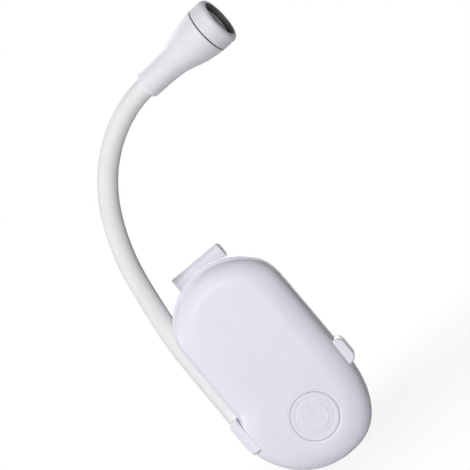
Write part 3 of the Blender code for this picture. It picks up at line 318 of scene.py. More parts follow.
def metal(name, colour, rough, drawn=(1.0, 1.0, 1.0)):
    """Metal with fine marks, drawn out along one axis where that is asked."""
    material, tree = new_material(name, Metallic=1.0)
    stretch = add_node(tree, "Mapping", object_space(tree), Scale=drawn)
    marks = noise(tree, 1800, 4, space=stretch.outputs["Vector"])
    dull = tuple(c * 0.78 for c in colour)
    stain(tree, spread(tree, noise(tree, 350, 4)), colour, dull)
    scuff(tree, marks, rough - 0.08, rough + 0.12)
    bump(tree, marks, 0.2, 0.00003)
    return material


def lens_material():
    """Smoky clear plastic with a light haze. Its dark tint also paints the shade inside the head.
    """
    material, tree = new_material(
        "lens_clear", Transmission_Weight=0.3, Specular_IOR_Level=0.05, IOR=1.3
    )
    # Painted shade: the dark tint stands in for the shade inside the head as well as the lens's
    # own smoke
    stain(tree, spread(tree, noise(tree, 200, 2)), (0.1, 0.105, 0.09), (0.08, 0.085, 0.073))
    scuff(tree, noise(tree, 700, 3), 0.06, 0.16)
    return material


def laminate():
    """Green solder mask with paler copper runs under it."""
    material, tree = new_material("board_mask")
    runs = add_node(tree, "TexBrick", object_space(tree), Scale=420.0).outputs["Fac"]
    stain(tree, spread(tree, runs), (0.02, 0.15, 0.06), (0.05, 0.24, 0.1))
    scuff(tree, noise(tree, 900, 3), 0.25, 0.4)
    bump(tree, runs, 0.3, 0.00005)
    return material


def cell_material(name, base, top):
    """A printed cell wrap: dark, and lighter beyond a line at the height base to top."""
    material, tree = new_material(name, Metallic=0.35)
    height = add_node(tree, "SeparateXYZ", object_space(tree)).outputs["Z"]
    grime = spread(tree, noise(tree, 600, 4))
    dark = mix_colour(tree, grime, (0.03, 0.035, 0.045), (0.05, 0.055, 0.065))
    stain(tree, spread(tree, height, start=base, end=top), dark, (0.55, 0.36, 0.16))
    scuff(tree, noise(tree, 300, 3), 0.22, 0.34)
    bump(tree, noise(tree, 500, 2), 0.1, 0.0001)
    return material


SHELL = moulded("shell_white", (0.765, 0.745, 0.83), (0.745, 0.725, 0.812), 0.36, 0.16)
BUTTON = moulded("button_white", (0.76, 0.74, 0.83), (0.74, 0.72, 0.81), 0.4, 0.2)
LEVER = moulded("lever_white", (0.76, 0.745, 0.82), (0.74, 0.725, 0.8), 0.38, 0.2)
# Painted shade: the head and its ring are darker copies of the housing's white plastic, darkened
# for the shade they show
HEAD = moulded("head_white_painted_shade", (0.725, 0.715, 0.77), (0.705, 0.695, 0.75), 0.3, 0.07, 0.4)
RING = moulded("ring_white_painted_shade", (0.7, 0.69, 0.745), (0.68, 0.67, 0.725), 0.3, 0.07, 0.15)
SLEEVE = silicone("sleeve_white", (0.775, 0.76, 0.77), (0.75, 0.735, 0.743))
PAD = rubber("pad_grey", (0.55, 0.54, 0.56))
GASKET = rubber("gasket_dark", (0.035, 0.034, 0.036), 0.6)
# Painted shade: a dark lining for the head's mouth, where the inside of the head lies in shade
COLLAR_SHADE = rubber("collar_painted_shade", (0.08, 0.083, 0.075), 0.6)
LENS = lens_material()
STEEL = metal("steel_drawn", (0.62, 0.62, 0.64), 0.3, (0.15, 1.0, 1.0))
SCREW_STEEL = metal("screw_steel", (0.6, 0.6, 0.61), 0.32)
NICKEL = metal("nickel_plate", (0.74, 0.72, 0.68), 0.26)
CHROME = metal("reflector_chrome", (0.86, 0.86, 0.86), 0.16)
BOARD = laminate()
BLACK = rubber("switch_black", (0.02, 0.02, 0.022), 0.45)
RESIN = moulded("led_resin", (0.85, 0.72, 0.2), (0.8, 0.66, 0.16), 0.25, 0.05, 0.5, 0.5)


# ---- mesh helpers ----


def clamp(share):
    return min(1.0, max(0.0, share))


def ease(share):
    """Goes from 0 to 1 with a level start and end."""
    share = clamp(share)
    return share * share * (3 - 2 * share)


def quarter(k, steps):
    return math.pi / 2 * k / steps


def fillet(x, y, across, up, steps, first=0):
    """Rounds a corner at (x, y), from (x + across, y) to (x, y + up)."""
    turns = [quarter(k, steps) for k in range(first, steps + 1)]
    return [(x + across * (1 - math.sin(t)), y + up * (1 - math.cos(t))) for t in turns]


def circle(steps):
    turns = [2 * math.pi * k / steps for k in range(steps)]
    return [(math.cos(turn), math.sin(turn)) for turn in turns]


def shares(steps, first=0):
    """Even steps up to 1, from 0 or from the first given."""
    return [k / steps for k in range(first, steps + 1)]


def from_bmesh(name, bm, material, sharp=32):
    bmesh.ops.recalc_face_normals(bm, faces=bm.faces)
    mesh = bpy.data.meshes.new(name)
    bm.to_mesh(mesh)
    bm.free()
    mesh.shade_smooth()
    mesh.set_sharp_from_angle(angle=math.radians(sharp))
    mesh.materials.append(material)
    obj = bpy.data.objects.new(name, mesh)
    PARTS.objects.link(obj)
    return obj


def loft(name, rings, material, closed=False, sharp=32):
    """Joins rings of points into one skin. Its ends are capped, or joined where it is closed."""
    bm = bmesh.new()
    loops = [[bm.verts.new(point) for point in ring] for ring in rings]
    pairs = list(zip(loops, loops[1:]))
    if closed:
        pairs.append((loops[-1], loops[0]))
    for low, high in pairs:
        for k in range(len(low)):
            after = (k + 1) % len(low)
            bm.faces.new((low[k], low[after], high[after], high[k]))
    if not closed:
        bm.faces.new(loops[0])
        bm.faces.new(loops[-1])
    return from_bmesh(name, bm, material, sharp)


def prism(name, points, y_low, y_high, material, edge=0.0, steps=3):
    """A front view outline made solid. Its front rim is rounded by edge."""
    middle = Vector((sum(x for x, _ in points), sum(z for _, z in points))) / len(points)
    rings = []
    for drawn, y in fillet(0, y_low, edge, edge, steps) if edge else []:
        ring = []
        for point in points:
            away = Vector(point) - middle
            away = away * max(0.0, 1 - drawn / max(away.length, 1e-6))
            ring.append((middle.x + away.x, y, middle.y + away.y))
        rings.append(ring)
    if not edge:
        rings.append([(x, y_low, z) for x, z in points])
    rings.append([(x, y_high, z) for x, z in points])
    return loft(name, rings, material)


def box(name, low, high, material, edge=0.0):
    bm = bmesh.new()
    bmesh.ops.create_cube(bm, size=1.0)
    low, high = Vector(low), Vector(high)
    bmesh.ops.scale(bm, vec=high - low, verts=bm.verts)
    bmesh.ops.translate(bm, vec=(low + high) / 2, verts=bm.verts)
    if edge:
        bevel(bm, list(bm.edges), edge)
    return from_bmesh(name, bm, material, 50)


def bevel(bm, edges, width):
    bmesh.ops.bevel(bm, geom=edges, offset=width, segments=3, profile=0.5, affect="EDGES")


def rods(name, ends, radius, material, sides=32, edge=0.0):
    """Round rods from start to end of each pair, with rims rounded by edge."""
    bm = bmesh.new()
    for start, end in ends:
        start, end = Vector(start), Vector(end)
        turn = (end - start).to_track_quat("Z", "Y").to_matrix().to_4x4()
        made = bmesh.ops.create_cone(
            bm, cap_ends=True, segments=sides, radius1=radius, radius2=radius,
            depth=(end - start).length, matrix=Matrix.Translation((start + end) / 2) @ turn,
        )
        if edge:
            rims = {e for v in made["verts"] for e in v.link_edges if len(e.link_faces) == 2}
            bevel(bm, [e for e in rims if abs(e.calc_face_angle(0)) > 1.2], edge)
    return from_bmesh(name, bm, material, 40)


def sideways(x_low, x_high, y, z):
    """The ends of a rod from side to side."""
    return (x_low, y, z), (x_high, y, z)


def turned(name, profile, base, axis, material, steps=64, ring=False, sharp=32):
    """Spins a (radius, height) profile about axis. Points on the axis become one point."""
    bm = bmesh.new()
    loops = []
    for radius, height in profile:
        spokes = [(0, 0)] if radius < 1e-7 else circle(steps)
        loops.append([bm.verts.new((radius * x, radius * y, height)) for x, y in spokes])
    for low, high in zip(loops, loops[1:] + loops[:1] if ring else loops[1:]):
        for k in range(steps):
            picks = (low, k), (low, k + 1), (high, k + 1), (high, k)
            corners = list(dict.fromkeys(loop[place % len(loop)] for loop, place in picks))
            if len(corners) > 2:
                bm.faces.new(corners)
    turn = Vector(axis).to_track_quat("Z", "Y").to_matrix().to_4x4()
    bmesh.ops.transform(bm, matrix=Matrix.Translation(base) @ turn, verts=bm.verts)
    return from_bmesh(name, bm, material, sharp)


def combine(obj, tool, operation="DIFFERENCE"):
    """Applies a Boolean at once and removes its tool."""
    modifier = obj.modifiers.new("cut", "BOOLEAN")
    modifier.operation = operation
    modifier.object = tool
    modifier.solver = "EXACT"
    bpy.context.view_layer.update()
    graph = bpy.context.evaluated_depsgraph_get()
    mesh = bpy.data.meshes.new_from_object(obj.evaluated_get(graph))
    obj.modifiers.clear()
    obj.data = mesh
    bpy.data.objects.remove(tool, do_unlink=True)


def drill(obj, name, ends, radius, sides=40):
    combine(obj, rods(name, ends, radius, SHELL, sides))


def finish_edges(obj, sharp=32):
    """Shades a cut solid smooth up to its true edges, with flat faces kept flat."""
    obj.data.shade_smooth()
    obj.data.set_sharp_from_angle(angle=math.radians(sharp))
    weights = obj.modifiers.new("flat_faces", "WEIGHTED_NORMAL")
    weights.keep_sharp = True
    weights.weight = 90


def wire(name, points, radius, material, sides=12):
    """A round wire along points, closed at both ends."""
    points = [Vector(point) for point in points]
    ahead = [(b - a).normalized() for a, b in zip(points[:1] + points, points[1:] + points[-1:])]
    side = ahead[0].orthogonal().normalized()
    rings = []
    for point, way in zip(points, ahead):
        side = (side - way * side.dot(way)).normalized()
        other = way.cross(side)
        rings.append([point + radius * (side * x + other * y) for x, y in circle(sides)])
    return loft(name, rings, material, sharp=60)


def stand_for(obj, body, *nodes):
    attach(obj, body)
    if nodes:
        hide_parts(*nodes)


# ---- the neck's path ----


def neck_bend(length):
    share = clamp((length - NECK_STRAIGHT) / (NECK_LENGTH - NECK_STRAIGHT))
    return NECK_TURN * share**NECK_TURN_POWER, NECK_LEAN * share**NECK_LEAN_POWER


def neck_direction(length):
    turn, lean = neck_bend(length)
    level = math.cos(lean)
    return Vector((math.sin(turn) * level, -math.sin(lean), math.cos(turn) * level))


def neck_point(length, steps=80):
    point = Vector((NECK_X, NECK_Y, NECK_BASE_Z))
    inside = min(max(length, 0.0), NECK_LENGTH)
    for k in range(steps):
        point += neck_direction(inside * (k + 0.5) / steps) * (inside / steps)
    return point + neck_direction(inside) * (length - inside)


def neck_joint(number):
    return 0.0 if number == 1 else NECK_FIRST_LINK + NECK_LINK * (number - 2)


def neck_bow(length):
    """How far the sleeve lies beside the path of the solids."""
    bow = 0.0
    for low, high, out in BOWS:
        bow += out * math.sin(math.pi * clamp((length - low) / (high - low))) ** 2
    return bow


def neck_ring(length, radius, sides=40):
    direction = neck_direction(length)
    side = direction.cross(Vector((0, 1, 0))).normalized()
    other = direction.cross(side)
    middle = neck_point(length) + side * neck_bow(length)
    return [middle + radius * (side * x + other * y) for x, y in circle(sides)]


# ---- housing ----


def outline(inset, arc=36, flare=14, straight=12):
    """The housing from the front, with a bulge at the lower left and a full lower right."""
    half, flared = HALF_WIDTH - inset, FLARE_HALF_WIDTH - inset
    top, left_foot = TOP_ARC_HEIGHT - inset, FLARE_ARC_HEIGHT - inset
    right_foot = BOTTOM_ARC_HEIGHT - inset
    top_z = TOP_Z - TOP_ARC_HEIGHT
    left_z, right_z = BOTTOM_Z + FLARE_ARC_HEIGHT, BOTTOM_Z + BOTTOM_ARC_HEIGHT
    points = []
    for k in range(2 * arc + 1):
        turn = quarter(k, arc)
        points.append((half * math.cos(turn), top_z + top * math.sin(turn)))
    for share in shares(straight, 1)[:-1]:
        points.append((-half, top_z + (left_z + FLARE_RISE - top_z) * share))
    for share in shares(flare)[:-1]:
        points.append((-(half + (flared - half) * ease(share)), left_z + FLARE_RISE * (1 - share)))
    for k in range(arc):
        turn = quarter(k, arc)
        points.append((-flared * math.cos(turn), left_z - left_foot * math.sin(turn)))
    bend = 2 / FOOT_POWER
    for k in range(arc, 0, -1):
        turn = quarter(k, arc)
        out = abs(math.cos(turn)) ** bend if k < arc else 0
        points.append((half * out, right_z - right_foot * math.sin(turn) ** bend))
    for share in shares(straight)[:-1]:
        points.append((half, right_z + (top_z - right_z) * share))
    return points


def body_ring(inset, y, drop=0.0):
    """The outline at y. Its top arc comes down by drop at the crown."""
    top_z = TOP_Z - TOP_ARC_HEIGHT
    return [(x, y, z - drop * ease((z - top_z) / TOP_ARC_HEIGHT)) for x, z in outline(inset)]


def cover_rings(inset, y_edge, deep, steps):
    """The front cover's pillow, or its hollow, as rings from its edge to its face."""
    rings = [body_ring(inset, y_edge, COVER_DROP)]
    for k in range(steps + 1):
        turn = quarter(k, steps)
        drawn = inset + COVER_ROUND * (1 - math.cos(turn))
        y = PART_Y - COVER_SKIRT - deep * math.sin(turn)
        rings.append(body_ring(drawn, y, COVER_DROP * math.cos(turn)))
    return rings


def cover_loft(name):
    return loft(name, cover_rings(COVER_STEP, PART_Y - PARTING_GAP, COVER_DEPTH, 22), SHELL)


def back_rings(inset, y_front, y_back, edge, steps):
    rim = fillet(inset, y_back, edge, -edge, steps)[::-1]
    return [body_ring(inset, y_front)] + [body_ring(*point) for point in rim]


def socket_outline(width):
    low, high, out = SOCKET_LOW, SOCKET_TOP, -SOCKET_OUT
    points = fillet(-out, high, SOCKET_CORNER, -SOCKET_CORNER, 8)
    centre = BOTTOM_Z + FLARE_ARC_HEIGHT
    start = math.asin((centre - low) / FLARE_ARC_HEIGHT)
    for share in shares(8):
        turn = start * share
        points.append((-out * math.cos(turn), centre - FLARE_ARC_HEIGHT * math.sin(turn)))
    points += [(-out + width, low), (-out + width, high)]
    return points[::-1]


def lug_outline(grow=0.0):
    low, high, out = LUG_LOW - grow, LUG_HIGH + grow, LUG_OUT + grow
    upper = fillet(out, high, -LUG_CORNER - grow, -LUG_CORNER - grow, 10)[::-1]
    lower = [(x, low + high - z) for x, z in upper]
    return [*upper, (LUG_IN - grow, high), (LUG_IN - grow, low), *lower[::-1]]


def front_cover():
    cover = cover_loft("cover_shell")
    inside = cover_rings(COVER_STEP + WALL, PART_Y + OVERRUN, COVER_DEPTH - WALL, 12)
    combine(cover, loft("cover_hollow", inside, SHELL))
    hole, lip, dip, deep = BUTTON_RADIUS + BUTTON_GAP, 0.0015, 0.00022, 0.0035
    profile = [(0, -OVERRUN), (hole + lip, -OVERRUN)]
    profile += [*fillet(hole, 0, lip, dip, 8), (hole, deep), (0, deep)]
    combine(cover, turned("button_hole", profile, (0, FRONT_Y, BUTTON_Z), (0, 1, 0), SHELL, 96))
    low = (SOCKET_OUT - OVERRUN, FRONT_Y - OVERRUN, SOCKET_LOW - NOTCH_GAP)
    high = (SOCKET_IN + NOTCH_GAP, PART_Y + OVERRUN, SOCKET_TOP + NOTCH_GAP)
    combine(cover, box("socket_notch", low, high, SHELL))
    lug = lug_outline(LUG_GAP)
    combine(cover, prism("lug_notch", lug, FRONT_Y - OVERRUN, PART_Y + OVERRUN, SHELL))
    finish_edges(cover)
    stand_for(cover, "housing", "front_cover")


def groove(name, extra):
    """Follows the neck, from the socket's top to past the housing's top."""
    low = SOCKET_TOP if extra == 0 else SOCKET_TOP - WALL
    end = TOP_Z - NECK_BASE_Z + 2 * OVERRUN
    lengths = [low - NECK_BASE_Z]
    lengths += [NECK_STRAIGHT + (end - NECK_STRAIGHT) * share for share in shares(18)]
    radius = NECK_RADIUS + GROOVE_GAP + extra
    return loft(name, [neck_ring(length, radius, 64) for length in lengths], SHELL)


def ear(name, x_low, x_high, edge=0.0004):
    """A D from the side, with softened rims."""
    low_y = BACK_Y - WALL - BACK_ROUND
    rings = []
    for x, drawn in ((x_low, edge), (x_low + edge, 0), (x_high - edge, 0), (x_high, edge)):
        radius = EAR_RADIUS - drawn
        ring = [(x, low_y, PIN_Z - radius)]
        for share in shares(32):
            turn = math.pi * share - math.pi / 2
            ring.append((x, PIN_Y + radius * math.cos(turn), PIN_Z + radius * math.sin(turn)))
        rings.append([*ring, (x, low_y, PIN_Z + radius)])
    return loft(name, rings, SHELL)


def back_shell():
    rings = [body_ring(COVER_STEP - PARTING_GAP / 2, PART_Y, COVER_DROP)]
    rings += back_rings(0, PART_Y + LEDGE_SLOPE, BACK_Y, BACK_ROUND, 10)
    back = loft("rear_shell", rings, SHELL)
    inside = back_rings(WALL, PART_Y - OVERRUN, BACK_Y - WALL, BACK_ROUND - WALL, 6)
    hollow = loft("back_hollow", inside, SHELL)
    combine(hollow, groove("groove_wall", WALL))
    block = socket_outline(SOCKET_BACK_WIDTH)
    combine(hollow, prism("socket_keep", block, PART_Y - 2 * OVERRUN, BACK_Y + OVERRUN, SHELL))
    combine(back, hollow)
    front = prism(
        "socket_front", socket_outline(SOCKET_FRONT_WIDTH), PART_Y - SOCKET_RAISE,
        BACK_Y - BACK_ROUND, SHELL, SOCKET_EDGE, 6,
    )
    combine(back, front, "UNION")
    combine(back, prism("socket_back", block, PART_Y, BACK_Y - GAP, SHELL), "UNION")
    lug = prism(
        "lug", lug_outline(), PART_Y - LUG_RAISE, BACK_Y - BACK_ROUND / 2, SHELL, LUG_EDGE, 6
    )
    slope = prism("lug_slope", lug_outline(), FRONT_Y, PART_Y - COVER_SKIRT, SHELL)
    combine(slope, cover_loft("lug_limit"), "INTERSECT")
    combine(lug, slope, "UNION")
    combine(back, lug, "UNION")
    combine(back, ear("left_ear", SOCKET_OUT + SOCKET_EDGE, EAR_IN), "UNION")
    combine(back, ear("right_ear", EAR_RIGHT, LUG_OUT - SOCKET_EDGE), "UNION")
    combine(back, groove("groove", 0))
    for name, half, y_high in (
        ("door_opening", DOOR_HALF + GAP, BACK_Y + OVERRUN),
        ("door_undercut", DOOR_HALF + GAP + DOOR_FLANGE, DOOR_LIP_Y),
    ):
        low, high = (-half, DOOR_FLANGE_Y - GAP, DOOR_LOW - GAP), (half, y_high, TOP_Z + OVERRUN)
        combine(back, box(name, low, high, SHELL))
    pin = [sideways(SOCKET_OUT - OVERRUN, LUG_OUT - PIN_WALL, PIN_Y, PIN_Z)]
    drill(back, "pin_bore", pin, PIN_RADIUS + BORE_GAP)
    neck = [((NECK_X, NECK_Y, SOCKET_FLOOR), (NECK_X, NECK_Y, SOCKET_TOP + OVERRUN))]
    drill(back, "socket_bore", neck, SOCKET_BORE, 64)
    sinks = [((x, BACK_Y - SINK_DEPTH, z), (x, BACK_Y + OVERRUN, z)) for x, z in SCREW_PLACES]
    drill(back, "head_sinks", sinks, SCREW_HEAD + GAP)
    x = LEVER_X - SPRING_HALF
    hook = [((x, BACK_Y - SPRING_HOLE_DEPTH, SPRING_HOLE_Z), (x, BACK_Y + OVERRUN, SPRING_HOLE_Z))]
    drill(back, "spring_hole", hook, SPRING_HOLE_RADIUS, 24)
    recess = prism("pad_recess", pad_outline(GAP), -PAD_THICKNESS - GAP, BACK_Y + OVERRUN, SHELL)
    combine(back, recess)
    bay()
    finish_edges(back)
    stand_for(back, "housing", "back_shell")


def bay():
    """Two walls of the battery bay, seen when its door is open."""
    for name, low, high in (
        ("bay_rib", (-0.0118, -0.0106, 0.0152), (0.0118, -0.0022, 0.0162)),
        ("bay_top", (-0.007, -0.0098, 0.0645), (0.007, -0.0029, 0.067)),
    ):
        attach(box(name, low, high, SHELL, 0.0002), "housing")


def pad_outline(grow=0.0):
    """A jaw pad's rounded rectangle, larger all round by grow."""
    points = []
    for quadrant, (right, up) in enumerate(((1, 1), (-1, 1), (-1, -1), (1, -1))):
        for share in shares(8):
            turn = math.pi / 2 * (quadrant + share)
            x = right * (PAD_WIDTH / 2 + grow - PAD_CORNER) + PAD_CORNER * math.cos(turn)
            z = up * (PAD_HEIGHT / 2 + grow - PAD_CORNER) + PAD_CORNER * math.sin(turn)
            points.append((x, z))
    return points


def battery_door():
    door = loft("door_panel", back_rings(0, PART_Y, BACK_Y, BACK_ROUND, 10), SHELL)
    low, top_z = (-DOOR_HALF, DOOR_FLANGE_Y, DOOR_LOW), TOP_Z + OVERRUN
    keep = box("door_keep", low, (DOOR_HALF, BACK_Y + OVERRUN, top_z), SHELL)
    wide = DOOR_HALF + DOOR_FLANGE
    high = (wide, DOOR_LIP_Y - DOOR_PLAY, top_z)
    combine(keep, box("door_flange", (-wide, *low[1:]), high, SHELL), "UNION")
    combine(door, keep, "INTERSECT")
    heights = [DOOR_GRIP_Z + DOOR_GRIP_PITCH * k for k in range(4)]
    grips = [sideways(-DOOR_HALF / 2, DOOR_HALF / 2, BACK_Y, z) for z in heights]
    drill(door, "door_grips", grips, GRIP_RADIUS, 24)
    arrow, deep = [(-0.0026, 0.034), (0.0026, 0.034), (0.0, 0.037)], 0.00025
    combine(door, prism("door_arrow", arrow, BACK_Y - deep, BACK_Y + OVERRUN, SHELL))
    finish_edges(door)
    stand_for(door, "battery_door", "battery_door")


def power_button():
    """A cap with a softened rim, a shallow ring round its face and a raised power symbol."""
    edge, drop = 0.0006, 0.00025
    trough, trough_width, trough_depth = 0.0058, 0.0014, 0.00008
    foot, bore, brim, roof, under = 0.0094, 0.0052, -0.0018, -0.0016, -0.0025
    profile = [(0, 0.0), (0.0055, 0.0)]
    for share in shares(8):
        dip = -trough_depth * math.sin(math.pi * share)
        profile.append((trough + trough_width * share, dip))
    profile += fillet(BUTTON_RADIUS, 0, -edge, -drop, 6)
    profile += [(BUTTON_RADIUS, brim), (foot, brim), (foot, under)]
    profile += [(bore, under), (bore, roof), (0, roof)]
    cap = turned("button_cap", profile, (0, FRONT_Y, BUTTON_Z), (0, -1, 0), BUTTON, 96)
    finish_edges(cap)
    stand_for(cap, "power_button", "power_button")
    radius, width, rise = 0.0043, 0.00055, 0.0001
    gap, bar_low, bar_length = 38, 0.0008, 0.0044
    arc = []
    for share in shares(48):
        turn = math.radians(90 + gap + (360 - 2 * gap) * share)
        arc.append((radius * math.cos(turn), FRONT_Y, BUTTON_Z + radius * math.sin(turn)))
    bar = [(0, FRONT_Y, BUTTON_Z + bar_low + bar_length * share) for share in shares(6)]
    for name, points in (("power_ring", arc), ("power_bar", bar)):
        mark = wire(name, points, width, BUTTON, 16)
        for vertex in mark.data.vertices:
            vertex.co.y = FRONT_Y + (vertex.co.y - FRONT_Y) * rise / width
        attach(mark, "power_button")
    stem = [(0, 0.0018), (0.0016, 0.0018), (0.0016, 0), (0, 0)]
    plunger = turned("plunger", stem, (0, -0.0155, BUTTON_Z), (0, 1, 0), BLACK, 32)
    stand_for(plunger, "power_button", "switch_plunger")


front_cover()
back_shell()
battery_door()
power_button()


# ---- clip ----


def lever_rows():
    """The lever from tip to thumb bar, as rows of height, depth, half width and thickness."""
    tip, thick = BOTTOM_Z + 0.0023, LEVER_THICKNESS
    jaw_y = JAW_FRONT_Y + thick / 2
    narrow, wide = JAW_HALF * 0.93, JAW_HALF * 1.15
    hinge = BARREL_LENGTH / 2 - WALL
    hinge_y = PIN_Y + LEVER_CHAMFER
    rows = [
        (tip, jaw_y + 0.0012, JAW_HALF * 0.62, thick * 0.6),
        (tip + 0.0004, jaw_y + 0.001, JAW_HALF * 0.7, thick * 0.75),
        (tip + 0.0012, jaw_y + 0.0006, JAW_HALF * 0.8, thick * 0.9),
        (-JAW_FLAT, jaw_y, narrow, thick),
    ]
    for share in shares(6, 1):
        half = narrow + (wide - narrow) * ease(share)
        rows.append((-JAW_FLAT + 2 * JAW_FLAT * share, jaw_y, half, thick))
    rise = PIN_Z - BARREL_RADIUS - JAW_FLAT
    for share in shares(8, 1):
        half = wide + (hinge * 0.97 - wide) * ease(share)
        y = jaw_y + (PIN_Y - jaw_y) * ease(share)
        rows.append((JAW_FLAT + rise * share, y, half, thick))
    rows.append((PIN_Z, hinge_y, hinge, thick))
    rise, run = THUMB_Z - PIN_Z, THUMB_Y - PIN_Y - LEVER_CHAMFER
    for share in shares(28, 1):
        half = hinge + (THUMB_HALF - THUMB_DRAFT - CLEAR - hinge) * ease(share * 1.3)
        rows.append((PIN_Z + rise * share, hinge_y + run * share, half, thick))
    return rows


def lever_section(z, y, half, thickness):
    edge, deep = min(0.0008, thickness / 3), thickness / 2
    side = fillet(half, -deep, -edge, edge, 4) + fillet(half, deep, -edge, -edge, 4)[::-1]
    points = [(LEVER_X + x, y + dy, z) for x, dy in side]
    return points + [(LEVER_X - x, y + dy, z) for x, dy in reversed(side)]


def lever():
    arm = loft("lever_arm", [lever_section(*row) for row in lever_rows()], LEVER)
    half = BARREL_LENGTH / 2
    barrel = [sideways(LEVER_X - half, LEVER_X + half, PIN_Y, PIN_Z)]
    combine(arm, rods("barrel", barrel, BARREL_RADIUS, LEVER, 48, 0.0003), "UNION")
    thumb = [sideways(LEVER_X - THUMB_HALF, LEVER_X + THUMB_HALF, THUMB_Y, THUMB_Z)]
    bar = rods("bar", thumb, THUMB_RADIUS, LEVER, 48, 0.0005)
    low = (LEVER_X - THUMB_HALF + CLEAR, THUMB_Y - THUMB_RADIUS + CLEAR, THUMB_Z - THUMB_FACE)
    high = (LEVER_X + THUMB_HALF - CLEAR, THUMB_Y - THUMB_RADIUS / 2, THUMB_Z - CLEAR)
    combine(bar, box("bar_face", low, high, LEVER), "UNION")
    for vertex in bar.data.vertices:
        ahead = (THUMB_Y + THUMB_RADIUS - vertex.co.y) / (2 * THUMB_RADIUS)
        vertex.co.x = LEVER_X + (vertex.co.x - LEVER_X) * (1 - ahead * THUMB_DRAFT / THUMB_HALF)
    combine(arm, bar, "UNION")
    slope = Vector((0, THUMB_Y - PIN_Y, THUMB_Z - PIN_Z)).normalized()
    out = Vector((0, slope.z, -slope.y))
    across = Vector((THUMB_HALF - 2 * LEVER_CHAMFER, 0, 0))
    ribs = []
    for k in range(4):
        down = slope * (THUMB_RADIUS + RIB_PITCH * (k + 1))
        middle = Vector((LEVER_X, THUMB_Y, THUMB_Z)) - down + out * LEVER_THICKNESS / 2
        ribs.append((middle - across, middle + across))
    combine(arm, rods("grip_ribs", ribs, GRIP_RADIUS, LEVER, 20, 0.0002), "UNION")
    half += OVERRUN
    bore = [sideways(LEVER_X - half, LEVER_X + half, PIN_Y, PIN_Z)]
    drill(arm, "barrel_bore", bore, PIN_RADIUS + BORE_GAP)
    reach = 2 * BARREL_RADIUS
    low = (LEVER_X - WINDOW_HALF, BACK_Y, PIN_Z - reach)
    high = (LEVER_X + WINDOW_HALF, PIN_Y + reach, PIN_Z + reach)
    combine(arm, box("spring_window", low, high, LEVER, 0.0008))
    combine(arm, prism("lever_recess", pad_outline(GAP), 0, PAD_THICKNESS + 2 * GAP, LEVER))
    finish_edges(arm)
    stand_for(arm, "clip_lever", "clip_lever")


def jaw_pad(name, y_face, y_back, body, node):
    """A rubber pad with grooves across its gripping face."""
    pad = prism(name, pad_outline(), min(y_face, y_back), max(y_face, y_back), PAD)
    heights = [(k - 2) * PAD_PITCH for k in range(5)]
    grooves = [sideways(-PAD_WIDTH, PAD_WIDTH, y_face, z) for z in heights]
    drill(pad, name + "_grooves", grooves, 0.00032, 12)
    finish_edges(pad, 40)
    stand_for(pad, body, node)


def pin():
    start, end, edge = SOCKET_OUT + PIN_WALL, LUG_OUT - PIN_WALL - GAP, 0.0003
    profile = [(0, end - start), *fillet(PIN_RADIUS, end - start, -edge, -edge, 4)]
    mirrored = [(radius, end - start - height) for radius, height in profile]
    profile += mirrored[::-1]
    made = turned("pin_steel", profile, (start, PIN_Y, PIN_Z), (1, 0, 0), STEEL, 40)
    stand_for(made, "housing", "clip_pin")


def spring():
    """A coil round the pin, with a hook in the housing and a leg against the lever."""
    radius, wire_radius, turns, bend, leg_rise = 0.0023, 0.0004, 5, 0.0008, 0.0105
    start = LEVER_X - SPRING_HALF
    points = []
    for share in shares(turns * 24):
        turn = math.pi - 2 * math.pi * turns * share
        y, z = PIN_Y + radius * math.cos(turn), PIN_Z + radius * math.sin(turn)
        points.append((start + 2 * SPRING_HALF * share, y, z))
    hook = [(start, BACK_Y - 0.001, SPRING_HOLE_Z)]
    hook += [(start, y, z) for y, z in fillet(PIN_Y - radius, SPRING_HOLE_Z, -bend, bend, 6)]
    slope = (THUMB_Y - PIN_Y - LEVER_CHAMFER) / (THUMB_Z - PIN_Z)
    face_y = PIN_Y + LEVER_CHAMFER + slope * leg_rise - LEVER_THICKNESS / 2
    end = Vector((points[-1][0], face_y - GAP - wire_radius, PIN_Z + leg_rise))
    leg = [Vector(points[-1]).lerp(end, share) for share in shares(8, 1)]
    made = wire("spring_wire", [*hook, *points, *leg], wire_radius, STEEL, 12)
    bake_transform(made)
    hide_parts("clip_spring")


lever()
jaw_pad("pad_fixed", 0.0, -PAD_THICKNESS, "housing", "fixed_jaw_pad")
jaw_pad("pad_moving", GAP, GAP + PAD_THICKNESS, "clip_lever", "moving_jaw_pad")
pin()
spring()


# ---- neck ----


def sleeve_radius(length):
    """A little stouter where it comes out of the housing."""
    return NECK_RADIUS - SLEEVE_TAPER * ease((length - TAPER_START) / TAPER_RUN)


def neck_skins():
    """One length of smooth sleeve for each joint, reaching from the middle of one link to the
    middle of the next.
    """
    cuts = [SLEEVE_START]
    for number in range(1, NECK_LINKS):
        cuts.append((neck_joint(number) + neck_joint(number + 1)) / 2)
    cuts.append(SLEEVE_END)
    for number in range(1, NECK_LINKS + 1):
        low, high = cuts[number - 1], cuts[number]
        count = max(8, round((high - low) / SLEEVE_PITCH))
        lengths = [low + (high - low) * share for share in shares(count)]
        rings = [neck_ring(length, sleeve_radius(length)) for length in lengths]
        rings += [neck_ring(length, NECK_BORE) for length in reversed(lengths)]
        skin = loft(f"sleeve_{number}", rings, SLEEVE, closed=True)
        joint = neck_joint(number)
        before = "housing" if number == 1 else f"neck_link_{number - 1}"
        axis = neck_direction(joint)
        middle = neck_point(joint)
        if number == 1:
            middle = middle + axis * FIRST_BEND
        reach = axis * BEND_HALF
        ends = [(before, middle - reach), (f"neck_link_{number}", middle + reach)]
        if number in FAR_LINK_FIRST:
            ends.reverse()
        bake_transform(skin)
        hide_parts(f"neck_sleeve_{number}", f"neck_core_{number}")


